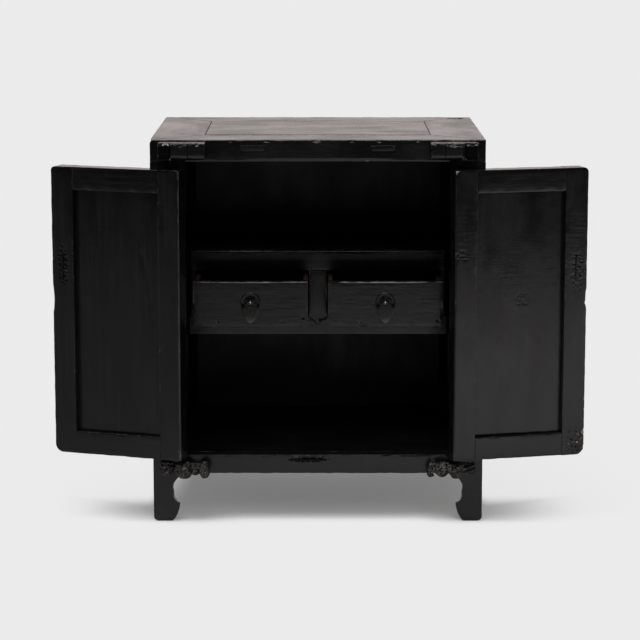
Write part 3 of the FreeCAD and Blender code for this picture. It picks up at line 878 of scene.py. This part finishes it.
def torn(*patches):
    """Sinks patches of a door's inner face unevenly, as where a pin tore the wood.
    A patch is its middle, its half size, its depth in mm, the wear of its high spots, and a seed.
    """

    def shave(places, low, high):
        push = np.zeros_like(places)
        rubbed = np.zeros(len(places))
        for at, half, depth, bare, seed in patches:
            share = share_of(places, np.array(at), np.array(half)) ** 0.5
            rough = np.clip(0.5 + 1.5 * waves_at(places, 240, seed), 0, 1)
            spots = np.clip(4 * waves_at(places, 200, seed + 1) - 1.4, 0, 1)
            push += (share * rough)[:, None] * np.array(inward) * depth
            rubbed += bare * share * spots
        return push, rubbed

    return shave


def door_rails(side):
    """The two cross pieces of a door."""
    for place in ("top", "low"):
        worn_board(side + "_door_" + place + "_rail", door_lacquer, arris=0.9 * mm, step=5 * mm)


print("doors from", door_low, "to", door_high)

# %% Left door's panel
grain_line_px = ((141, 253), (147, 277), (151, 303), (154, 330), (156, 356), (156, 380), (152, 404))
dents_each = 12
panel_chatter_px = (110, 240)
line_dents = []
for (u0, v0), (u1, v1) in zip(grain_line_px, grain_line_px[1:]):
    for turn in range(dents_each):
        share = turn / dents_each
        at = on_door("left_door_panel", u0 + (u1 - u0) * share, v0 + (v1 - v0) * share)
        line_dents.append(dent(at, (2.6 * mm, 3 * mm, 5 * mm), inward * 0.35, 0))
chatter = on_door("left_door_panel", *panel_chatter_px)
worn_board("left_door_panel", door_lacquer, arris=0.6 * mm, step=4 * mm, sag=0.6 * mm, rub=0.3 * mm,
           dents=line_dents, ripples=[(chatter, (60 * mm, 20 * mm, 70 * mm), 0.10)])
print("left panel with a grain line of", len(line_dents), "dents")

# %% Left door's frame
torn_corner_px = (181, 456)
scar_px = (63, 264)
grip_px = (53.5, 298)
node = "left_door_hinge_stile"
torn_corner = on_door(node, *torn_corner_px)
corner_dent = dent(torn_corner, (7 * mm, 9 * mm, 14 * mm), (0.8 * mm, -1.0 * mm, 0.6 * mm), 0.75)
low, high = square_box(node)
stile = worn_board(node, door_lacquer, arris=0.9 * mm, step=5 * mm, dents=[corner_dent],
                   shave=eased_hinge_edge("left"), finer=[(0, low.x + 1 * mm, low.x + 9 * mm, 1.3 * mm)])
# The pegs and the stile's end beside them get painted shade.
paint_shade_and_joints(stile, at_peg)

node = "left_door_meeting_stile"
scar = on_door(node, *scar_px)
scar_half = Vector((9, 3, 34)) * mm
scar_dents = pits_round(11, scar, scar_half, 12, (1.7 * mm, 3.0 * mm), inward * 0.6, 0.2)
grip_dent = dent(on_door(node, *grip_px), (9 * mm, 60 * mm, 26 * mm), (-2.4 * mm, 0, 0), 0.25)
worn_board(node, door_lacquer, arris=1.2 * mm, step=5 * mm, dents=scar_dents + [grip_dent],
           shave=torn((scar, scar_half * 1.2, 0.9, 1.4, 31)),
           finer=[around(scar, 2, 38 * mm, 1.2 * mm), around(scar, 0, 12 * mm, 1.2 * mm)])
door_rails("left")
print("left door with", len(scar_dents), "pits in its scar")

# %% Right door's panel
knot_px = (523, 298)
panel_chatter_px = (522, 262)
knot = on_door("right_door_panel", *knot_px)
knot_half = Vector((11, 3, 12)) * mm
knot_dents = pits_round(21, knot, knot_half, 8, (1.2 * mm, 3.4 * mm), inward * 0.3, 0.15)
chatter = on_door("right_door_panel", *panel_chatter_px)
worn_board("right_door_panel", door_lacquer, arris=0.6 * mm, step=5 * mm, sag=0.6 * mm, rub=0.3 * mm,
           dents=knot_dents, ripples=[(chatter, (95 * mm, 20 * mm, 85 * mm), 0.20)],
           shave=torn((knot, knot_half * 1.3, 0.2, 0, 37)),
           finer=[around(knot, 0, 14 * mm, 1.4 * mm), around(knot, 2, 15 * mm, 1.4 * mm)])
print("right panel with a knot at", knot)

# %% Right door's hinge stile
torn_corner_px = (456.5, 171)
stile_chatter_px = (466, 232)
nail_px = (461, 255)
node = "right_door_hinge_stile"
torn_corner = on_door(node, *torn_corner_px)
corner_dent = dent(torn_corner, (6.5 * mm, 9 * mm, 6.5 * mm), (-1.2 * mm, -1.6 * mm, -1.2 * mm), 1.15)
low, high = square_box(node)
chatter = on_door(node, *stile_chatter_px)
nail = on_door(node, *nail_px)
nail_half = Vector((7, 2, 9)) * mm
nail_dents = pits_round(22, nail, nail_half, 30, (1.0 * mm, 2.2 * mm), inward * 0.35, 0.35)
stile = worn_board(node, door_lacquer, arris=0.9 * mm, step=5 * mm, rub=0.4 * mm,
                   dents=[corner_dent] + nail_dents, shave=eased_hinge_edge("right"),
                   ripples=[(chatter, (40 * mm, 20 * mm, 60 * mm), 0.40)],
                   finer=[(0, high.x - 9 * mm, high.x - 1 * mm, 1.3 * mm),
                          around(nail, 2, 9 * mm, 1.5 * mm)])
# The pegs and the stile's end beside them get painted shade.
paint_shade_and_joints(stile, at_peg)
print("right hinge stile with", len(nail_dents), "pits round a nail")

# %% Right door's meeting stile and rails
scar_px = (577, 270)
stile_chatter_px = (577, 243)
grip_px = (587, 298)
notch_px = (587, 303.5)
crag_px = (576, 443)
crag_edge_px = (584, 426)
node = "right_door_meeting_stile"
scar = on_door(node, *scar_px)
scar_half = Vector((11, 3, 36)) * mm
scar_dents = pits_round(23, scar, scar_half, 20, (1.4 * mm, 3 * mm), inward * 0.6, 0.3)
for pixel, tall in ((grip_px, 18 * mm), (notch_px, 2.5 * mm)):
    scar_dents.append(dent(on_door(node, *pixel), (9 * mm, 60 * mm, tall), (2.0 * mm, 0, 0), 0.25))
chatter = on_door(node, *stile_chatter_px)
crag = on_door(node, *crag_px)
crag_half = Vector((17, 4, 25)) * mm
crag_push = (0.2 * mm, -0.7 * mm, 0.1 * mm)
crag_dents = pits_round(24, crag, crag_half, 150, (1.4 * mm, 3.6 * mm), crag_push, 0.45)
# Light specks along the free edge: partly chipped wood, partly painted glints.
crag_edge = on_door(node, *crag_edge_px)
edge_half = Vector((4, 3, 50)) * mm
edge_push = (0.4 * mm, -0.6 * mm, 0)
crag_dents += pits_round(25, crag_edge, edge_half, 60, (1.2 * mm, 2.6 * mm), edge_push, 0.75)
worn_board(node, door_lacquer, arris=1.2 * mm, step=5 * mm, dents=scar_dents + crag_dents,
           shave=torn((scar, scar_half * 1.2, 0.35, 1.4, 33), (crag, crag_half * 1.2, 0.4, 1.4, 41),
                      (crag_edge, edge_half * 1.3, 0.4, 1.8, 43)),
           ripples=[(chatter, (40 * mm, 20 * mm, 70 * mm), 0.60)],
           finer=[around(scar, 2, 40 * mm, 1.5 * mm), around(scar, 0, 14 * mm, 1.5 * mm),
                  around(crag, 2, 62 * mm, 1.6 * mm), around(crag, 0, 20 * mm, 1.6 * mm)])
door_rails("right")
print("right door with", len(scar_dents) + len(crag_dents), "pits and splits")

# %% [markdown]
# ## The drawers
# A drawer is five thin boards. Only its front is lacquered; the sides, rear and bottom are bare.
# The nails that hold the sides show as small dimples near the front's lower edge, and its upper lip
# is rubbed where fingers pull it; the lip's lighter colour is partly that rubbing, partly a painted highlight.

# %% Drawers
nail_pixels = {"left": ((217, 322), (282, 322), (303, 318)),
               "right": ((359, 322), (413, 322), (438, 321))}
for side, pixels in nail_pixels.items():
    node = side + "_drawer_front"
    nails = [on_front(node, u, v) for u, v in pixels]
    front_dents = [dent(at, (3.4 * mm, 3 * mm, 2.4 * mm), (0, 1.1 * mm, 0), 0.1) for at in nails]
    low, high = square_box(node)
    lip = Vector(((low.x + high.x) / 2, low.y, high.z))
    # The lip's lighter wear is partly real rubbing, partly a painted highlight along the arris.
    front_dents.append(dent(lip, (140 * mm, 6 * mm, 3.0 * mm), (0, 0.9 * mm, 0), 0.3))
    close_cuts = [around(at, 0, 5 * mm, 1.2 * mm) for at in nails]
    close_cuts += [around(nails[0], 2, 6 * mm, 1.2 * mm), (2, high.z - 4 * mm, high.z - 1 * mm, 1 * mm)]
    worn_board(node, case_lacquer, arris=2.2 * mm, step=6 * mm, rub=0.45 * mm, dents=front_dents,
               finer=close_cuts)
    for board, wood in (("sides", side_wood), ("rear", dusky_wood), ("bottom", dusky_wood)):
        worn_board(side + "_drawer_" + board, wood, arris=0.7 * mm, step=12 * mm, sag=0.1 * mm,
                   rub=0.4 * mm)
    print(side, "drawer with", len(nails), "nails")

# %% [markdown]
# ## The hinge blocks
# A door peg turns in a bored block above and below. The upper blocks are stepped, with a sunk frame
# at their outer end and battered upper edges. They are boards like the rest, with a shave of their
# own.

# %% Upper blocks
packed_steps = np.array((0, 26.8, 58.6, 91.8)) * mm
worn_steps = {"left": np.array((6.4, 31.0, 62.3, 91.8)) * mm,
              "right": np.array((5.6, 34.6, 66.6, 91.8)) * mm}
wear_seed = {"left": 4, "right": 8}
pit_seed = {"left": 31, "right": 32}
outer_step = packed_steps[1]
rim = 2.4 * mm
top_rim = rim + 3 * mm


def battered_block(side):
    """Slopes a block's worn top, rounds its inner steps under, and sinks the outer step's face."""

    def shave(places, low, high):
        gap, way = from_outside(side, places, low, high)
        outer = gap < outer_step
        face = np.where(outer, places[outer, 1].min(), low[1])
        front = np.clip(1 - (places[:, 1] - face) / (14 * mm), 0, 1)
        broad = waves_at(places, 110, wear_seed[side])
        fine = waves_at(places, 260, wear_seed[side])
        worn = np.clip(0.35 + 1.3 * broad + 0.9 * fine, 0, 1.5)
        top = np.clip(1 - (high[2] - places[:, 2]) / (9 * mm), 0, 1)
        under = np.clip(1 - (places[:, 2] - low[2]) / (11 * mm), 0, 1)
        push = np.zeros_like(places)
        set_in = np.clip(1 - gap / outer_step, 0, 1) * worn_steps[side][0]
        moved = np.interp(gap, packed_steps, worn_steps[side]) - gap
        push[:, 0] = way * (set_in + (moved - set_in) * np.clip(front * 1.5, 0, 1))
        push[:, 2] = -3.2 * mm * front * worn * top
        push[:, 1] = 3.5 * mm * under ** 2 * front * ~outer + 1.5 * mm * top ** 2 * front * worn
        sunk = outer & (gap > rim) & (gap < outer_step - rim) & (front > 0.9)
        sunk &= (places[:, 2] > low[2] + rim) & (places[:, 2] < high[2] - top_rim)
        push[:, 1] += 1.6 * mm * sunk
        frame_rub = 0.25 * (outer & ~sunk & (front > 0.85))
        return push, 0.22 * top * front * worn + frame_rub

    return shave


for side in ("left", "right"):
    node = side + "_upper_hinge_block"
    low, high = square_box(node)
    edge_low = Vector((low.x, low.y, high.z - 3 * mm))
    edge_high = Vector((high.x, low.y + 16 * mm, high.z))
    battered = pits(pit_seed[side], edge_low, edge_high, 60, (1.8 * mm, 4 * mm),
                    (0, 0.6 * mm, -1.4 * mm), 0.1)
    outer, way = (low.x, 1) if side == "left" else (high.x, -1)
    rim_cuts = [(0, outer + way * gap - 0.3 * mm, outer + way * gap + 0.4 * mm, 0.5 * mm)
                for gap in (rim, outer_step - rim)]
    block = worn_board(node, case_lacquer, arris=1.6 * mm, step=3 * mm, rub=1.0 * mm, dents=battered,
                       shave=battered_block(side), finer=rim_cuts)
    frame_middle = outer + way * (worn_steps[side][0] + worn_steps[side][1]) / 2
    frame_half = (worn_steps[side][1] - worn_steps[side][0]) / 2 - rim
    # The sunk face inside the outer step's frame gets painted shade.
    paint_shade_and_joints(block, lambda at: abs(at.x - frame_middle) < frame_half and at.y < (low.y + high.y) / 2
            and low.z + rim < at.z < high.z - top_rim)
    print(block.name, "with", len(battered), "pits")

# %% [markdown]
# The lower blocks are carved as a curled beast with a scrolled tail. A carving is built up as a
# sculptor builds clay: lumps for the masses, cords laid on them in spirals, then everything is
# fused into one skin and smoothed a little, as a knife and wear leave it. Last, the peg's hole is
# bored. Subtracting cuts from one block would be nearer to a carver's work, but lumps are easier to
# place and to change.

# %% Carver's helpers
block_front = left_front_post_box[0].y


def on_block(side, u, z, w):
    """Place on a lower block: u in from the chest's side, z up, w out from the front, all in mm."""
    edge = square_box(side + "_front_post")[0 if side == "left" else 1].x
    inward_x = 1 if side == "left" else -1
    return Vector((edge + inward_x * u * mm, block_front - w * mm, z * mm))


def lump(bm, side, egg):
    """A solid egg: its middle u, z, w and its half sizes, in mm."""
    u, z, w, half_u, half_z, half_w = egg
    place = Matrix.Translation(on_block(side, u, z, w)) @ Matrix.Diagonal(
        (half_u * mm, half_w * mm, half_z * mm, 1))
    bmesh.ops.create_icosphere(bm, subdivisions=4, radius=1, matrix=place)


def cord(bm, side, points, thick):
    """A rounded cord through points (u, z, w), tapering from the first thickness to the second."""
    bead_step = 0.8
    for start, end in zip(points, points[1:]):
        length = (Vector(end) - Vector(start)).length
        count = max(1, round(length / bead_step))
        for turn in range(count):
            place = Vector(start).lerp(Vector(end), turn / count)
            share = (points.index(start) + turn / count) / (len(points) - 1)
            radius = (thick[0] + (thick[1] - thick[0]) * share) * mm
            at = Matrix.Translation(on_block(side, *place)) @ Matrix.Scale(radius, 4)
            bmesh.ops.create_icosphere(bm, subdivisions=1, radius=1, matrix=at)


def spiral(egg, u, z, radius, turns, start):
    """Points of a spiral that lies on an egg's front."""
    points = []
    count = round(14 * turns)
    for turn in range(count + 1):
        share = turn / count
        angle = start + 2 * math.pi * turns * share
        reach = radius * (1 - 0.85 * share)
        at_u = u + reach * math.cos(angle)
        at_z = z + reach * math.sin(angle)
        inside = 1 - ((at_u - egg[0]) / egg[3]) ** 2 - ((at_z - egg[1]) / egg[4]) ** 2
        points.append((at_u, at_z, egg[2] + egg[5] * math.sqrt(max(inside, 0.03)) + 1.0))
    return points


print("carver's helpers ready; blocks stand out from", block_front)


# %% Fuse and bore
def changed(thing):
    """The shape of an object with its modifiers applied; the object itself goes."""
    done = bpy.data.meshes.new_from_object(thing.evaluated_get(bpy.context.evaluated_depsgraph_get()))
    bpy.data.objects.remove(thing)
    return done


def fused(bm, voxel, rounds):
    """One skin round all the lumps and cords, smoothed."""
    clay = put("clay", as_mesh(bm, "clay"))
    skin = clay.modifiers.new("skin", "REMESH")
    skin.mode = "VOXEL"
    skin.voxel_size = voxel
    soften = clay.modifiers.new("soften", "SMOOTH")
    soften.factor = 0.5
    soften.iterations = rounds
    return changed(clay)


bore_radius = 6.42 * mm
bore_floor = 112.2 * mm
drill_long = 30 * mm


def bored(mesh, pivot):
    """Cuts the hole for a peg into a block."""
    block = put("block", mesh)
    bm = bmesh.new()
    place = Matrix.Translation((pivot.x, pivot.y, bore_floor + drill_long / 2))
    bmesh.ops.create_cone(bm, cap_ends=True, segments=48, radius1=bore_radius, radius2=bore_radius,
                          depth=drill_long, matrix=place)
    drill = put("drill", as_mesh(bm, "drill"))
    cut = block.modifiers.new("bore", "BOOLEAN")
    cut.object = drill
    cut.operation = "DIFFERENCE"
    done = changed(block)
    bpy.data.objects.remove(drill)
    return done


print("bores are", 2 * bore_radius / mm, "mm wide")

# %% The left carving's design
left_masses = {"scroll": (25, 103, 5, 16, 14, 13), "beast": (59.5, 105, 27, 15, 18, 17),
               "neck": (79, 102, 18, 10, 9, 12), "head": (96.5, 105, 26, 10.5, 16.5, 15)}
left_knobs = [(67, 118.5, 37, 3.4, 4.2, 4), (96.5, 118.8, 33, 3.2, 4.2, 4),
              (101, 111, 37, 2.4, 2.4, 2.4), (92, 112, 38.5, 2.2, 2.2, 2.2)]
left_curls = [("scroll", 20, 111, 5, 1.6, 0.5), ("scroll", 33, 109, 6, 1.7, 2.6),
              ("scroll", 26, 99, 4.5, 1.5, 4.0), ("beast", 50, 111.5, 5, 1.6, 0.6),
              ("beast", 62, 109, 5.2, 1.6, 2.4), ("beast", 48, 100, 4.6, 1.5, 4.4),
              ("beast", 57, 98, 4.4, 1.5, 1.2), ("beast", 66, 100, 4, 1.4, 5.2),
              ("head", 93, 105, 4.6, 1.6, 0.9), ("head", 100, 101, 4.4, 1.5, 3.0),
              ("head", 93, 97, 3.6, 1.4, 4.8)]
left_cords = [[(74, 110, 28), (80, 108, 27), (86, 109, 29)],
              [(11, 102, 10), (15, 113, 13), (25, 116.5, 15), (38, 114, 16)],
              [(11, 98, 11), (20, 93.5, 15), (34, 93, 16)]]
print("left carving:", len(left_masses), "masses,", len(left_curls), "curls")

# %% The right carving's design
right_masses = {"scroll": (22, 101, 0, 18, 9.5, 10), "rump": (51, 105, 26, 12.5, 17.5, 17.5),
                "beast": (76, 105.5, 24, 13, 14.5, 17), "head": (98, 101.5, 20, 6.5, 12, 11)}
right_knobs = [(97, 114, 22, 3.6, 4.5, 5), (58, 108, 28.5, 9.5, 12, 10), (72, 118.5, 30, 4, 3, 4)]
right_curls = [("rump", 44, 111, 5.2, 1.7, 0.4), ("rump", 55, 102, 5.6, 1.7, 3.4),
               ("rump", 44, 99, 4.4, 1.5, 5.0), ("rump", 41, 114, 3.4, 1.4, 1.8),
               ("beast", 84, 111, 4.4, 1.6, 0.6), ("beast", 77, 115, 4, 1.5, 2.2),
               ("beast", 84, 102.5, 4.2, 1.5, 4.0), ("beast", 70, 110, 4.8, 1.6, 5.4),
               ("beast", 75, 104, 4, 1.5, 1.0), ("head", 98, 103, 4.8, 1.7, 2.0)]
right_cords = [[(39, 95, 14), (29, 96.5, 13), (18, 100.5, 12), (8, 107, 11)],
               [(38, 103, 15), (28, 105, 12.5), (17, 109, 11.5), (9, 113, 10.5)],
               [(8, 107, 11), (4.5, 104, 12), (6, 100, 12), (10, 101, 11.5)],
               [(92.5, 94.5, 25), (98, 92.6, 24), (103, 96, 21)]]
print("right carving:", len(right_masses), "masses,", len(right_curls), "curls")

# %% Lower blocks
curl_thick = (2.1, 1.5)
cord_thick = (2.8, 2.2)
backing_middle = (60, 105, 3)
backing_size = (72 * mm, 6 * mm, 15 * mm, 1)
chisel_deep = 0.35 * mm


def carved_shape(side, masses, knobs, curls, cords):
    """A block's masses, knobs, spirals and cords, fused and gone over with a chisel."""
    bm = bmesh.new()
    for egg in list(masses.values()) + knobs:
        lump(bm, side, egg)
    for mass, *curl in curls:
        cord(bm, side, spiral(masses[mass], *curl), curl_thick)
    for points in cords:
        cord(bm, side, points, cord_thick)
    backing = Matrix.Translation(on_block(side, *backing_middle)) @ Matrix.Diagonal(backing_size)
    bmesh.ops.create_cube(bm, size=1, matrix=backing)
    mesh = fused(bm, 0.7 * mm, 1)
    places = places_of(mesh)
    chisel = waves_at(places, 420, 3) * chisel_deep + waves_at(places, 160, 7) * chisel_deep
    low, high = square_box(side + "_lower_hinge_block")
    cut = places - normals_of(mesh) * np.abs(chisel)[:, None]
    move_to(mesh, np.clip(cut, np.array(low), np.array(high)))
    return mesh


def ridge_wear(side, places, masses):
    """How much the carving is rubbed: more on the cords than on the masses under them."""
    over = np.full(len(places), 9.0)
    for u, z, w, half_u, half_z, half_w in masses.values():
        half = np.array([half_u, half_w, half_z])
        middle = np.array(on_block(side, u, z, w))
        stretch = np.sqrt((((places - middle) / mm / half) ** 2).sum(1))
        over = np.minimum(over, (stretch - 1) * half.min())
    return 0.05 + 0.35 * np.clip(over / 1.6, -0.4, 1)


designs = {"left": (left_masses, left_knobs, left_curls, left_cords),
           "right": (right_masses, right_knobs, right_curls, right_cords)}
for side, (masses, *others) in designs.items():
    node = side + "_lower_hinge_block"
    mesh = bored(carved_shape(side, masses, *others), Vector(joints[side + "_door_hinge"]["pos_m"]))
    places = places_of(mesh)
    measures(mesh, [0, 1, 2], ridge_wear(side, places, masses), np.zeros(len(places)), 9)
    piece = keep("carved_" + node, mesh, node, carved_lacquer)
    print(piece.name, len(piece.data.polygons), "faces")

# %% [markdown]
# ## The pulls
# A drop pull is a round plate, an eye pin through the board, and a leaf that hangs from a bar in the
# eye. The plate was raised with a hammer, so it has a bead along its rim and a slight dome. The leaf
# was filed thin at its edges and bends a little towards its tip, so its lower half mirrors the floor.


# %% Pull helpers
def turned(profile, axis, count=64):
    """A ring turned about an axis (0 across, 1 outward) from a closed outline of radius and height."""
    bm = bmesh.new()
    rings = []
    for turn in range(count):
        angle = 2 * math.pi * turn / count
        ring = []
        for radius, along in profile:
            across, up = radius * math.cos(angle), radius * math.sin(angle)
            ring.append(bm.verts.new((along, across, up) if axis == 0 else (across, along, up)))
        rings.append(ring)
    for near, far in zip(rings, rings[1:] + rings[:1]):
        skin(bm, near, far)
    bmesh.ops.recalc_face_normals(bm, faces=bm.faces)
    return bm


def skin(bm, near, far):
    """Faces between two rings of vertices."""
    for here in range(len(near)):
        there = (here + 1) % len(near)
        bm.faces.new((near[here], near[there], far[there], far[here]))


def pull_place(prefix):
    """Matrix from a pull's own axes (across, outward negative, up) to where its board lies square."""
    low, high = square_box(prefix + "_pull_plate")
    return Matrix.Translation(((low.x + high.x) / 2, high.y, (low.z + high.z) / 2))


def hammered(mesh, depth, seed):
    """Pushes a mesh in by soft hammer marks."""
    places = places_of(mesh)
    blows = np.abs(waves_at(places, 260, seed)) + 0.5 * np.abs(waves_at(places, 700, seed))
    move_to(mesh, places - normals_of(mesh) * (depth * blows)[:, None])


def keep_pull(prefix, part, mesh, wear, seed):
    """Keeps a pull's part, made on the pull's own axes, as a piece."""
    node = prefix + "_pull_" + part
    measures(mesh, [0, 1, 2], wear, np.zeros(len(mesh.vertices)), seed)
    mesh.transform(squared(node).inverted() @ pull_place(prefix))
    return keep("hammered_" + node, mesh, node, pull_metal)


print("pull helpers ready")

# %% Plates
plate_outline = [(2.5, 0), (10, 0), (19, 0), (19, -0.5), (18.6, -1.1), (17.8, -1.5), (17.0, -1.45),
                 (16.3, -1.0), (15.6, -0.75), (12, -1.0), (8, -1.3), (4.5, -1.55), (2.5, -1.6)]
bead_radius = 17.6 * mm
bead_half = 0.9 * mm


def plate(prefix, seed):
    """The round plate with a beaded rim."""
    mesh = as_mesh(turned([(radius * mm, along * mm) for radius, along in plate_outline], 1, 72), "plate")
    places = places_of(mesh)
    reach = np.hypot(places[:, 0], places[:, 2])
    wear = 0.20 + 0.32 * np.exp(-((reach - bead_radius) / bead_half) ** 2)
    hammered(mesh, 0.22 * mm, seed)
    return keep_pull(prefix, "plate", mesh, wear, seed)


print("plates", 2 * max(radius for radius, along in plate_outline), "mm wide")

# %% Eye pins
eye_out = 6.6 * mm
eye_radius = 3.05
wire_radius = 1.12
eye_half_wide = 1.6
shank_radius = 1.9 * mm
tail_inset = 0.7 * mm


def strip(bm, start, end, width, thick):
    """A flat tail from start to end that narrows to its tip."""
    start, end = Vector(start), Vector(end)
    rings = []
    for share, size in ((0, 1.0), (0.35, 0.95), (0.7, 0.7), (1.0, 0.35)):
        middle = start.lerp(end, share)
        across = Vector((width * size / 2, 0, 0))
        out = Vector((0, thick * (0.5 + size / 2) / 2, 0))
        corners = ((-1, -1), (1, -1), (1, 1), (-1, 1))
        rings.append([bm.verts.new(middle + across * a + out * b) for a, b in corners])
    for near, far in zip(rings, rings[1:]):
        skin(bm, near, far)
    bm.faces.new(rings[0][::-1])
    bm.faces.new(rings[-1])
    bmesh.ops.recalc_face_normals(bm, faces=bm.faces)


def eye_pin(prefix, seed):
    """A ring eye on a collar, a shank through the board, and two clinched tails."""
    high = pull_place(prefix).inverted() @ square_box(prefix + "_pull_pin")[1]
    ring = [((eye_radius + wire_radius * math.cos(turn * math.pi / 6)) * mm,
             eye_half_wide * mm * math.sin(turn * math.pi / 6)) for turn in range(12)]
    bm = turned(ring, 0, 40)
    bmesh.ops.translate(bm, vec=(0, -eye_out, 0), verts=bm.verts)
    start, end = -eye_out + 3.0 * mm, high.y - tail_inset
    shank = Matrix.Translation((0, (start + end) / 2, 0)) @ Matrix.Rotation(math.pi / 2, 4, "X")
    bmesh.ops.create_cone(bm, cap_ends=True, segments=20, radius1=shank_radius, radius2=shank_radius,
                          depth=end - start, matrix=shank)
    collar = Matrix.Translation((0, -1.9 * mm, 0)) @ Matrix.Diagonal((3.7, 0.9, 3.7, 1))
    bmesh.ops.create_icosphere(bm, subdivisions=3, radius=1, matrix=collar @ Matrix.Scale(mm, 4))
    for way in (-1, 1):
        strip(bm, (0, end, 0), (0, high.y - 0.6 * mm, way * high.z), 4 * mm, 1.3 * mm)
    mesh = fused(bm, 0.33 * mm, 2)
    wear = np.where(places_of(mesh)[:, 1] < -2.5 * mm, 1.0, 0.0)
    hammered(mesh, 0.12 * mm, seed)
    return keep_pull(prefix, "pin", mesh, wear, seed)


print("eyes stand", eye_out / mm, "mm out")

# %% Leaves
filed_band = 5 * mm
bend_start = 9 * mm
bend_long = 31 * mm
bend = 1.3 * mm


def leaf(prefix, seed):
    """The leaf, filed thin at its edges and bent towards its tip."""
    bm = cad_copy(prefix + "_pull_leaf")
    bm.transform(pull_place(prefix).inverted())
    round_arrises(bm, 0.35 * mm)
    slice_board(bm, 1.4 * mm, 20 * mm, ())
    mesh = as_mesh(bm, "leaf")
    places = places_of(mesh)
    across, heights = np.abs(places[:, 0]), places[:, 2]
    widths = np.array([across[np.abs(heights - each) < 0.9 * mm].max() for each in heights])
    from_edge = np.minimum(widths - across, (heights - heights.min()) * 0.6)
    inset = np.clip(from_edge / filed_band, 0, 1)
    thin = np.where(heights < -2.2 * mm, 0.42 + 0.58 * inset * (2 - inset), 1)
    drop = np.clip((-bend_start - heights) / bend_long, 0, None)
    # Lighter towards the tip: partly wear from handling, partly a painted reflection of the floor.
    wear = 0.30 + 0.35 * drop
    places[:, 1] = -eye_out + (places[:, 1] + eye_out) * thin + bend * drop ** 2
    move_to(mesh, places)
    hammered(mesh, 0.1 * mm, seed)
    return keep_pull(prefix, "leaf", mesh, wear, seed)


for seed, prefix in enumerate(("left_door", "right_door", "left_drawer", "right_drawer")):
    pieces = [plate(prefix, seed + 1), eye_pin(prefix, seed + 5), leaf(prefix, seed + 9)]
    print(prefix, "pull:", [len(piece.data.polygons) for piece in pieces], "faces")
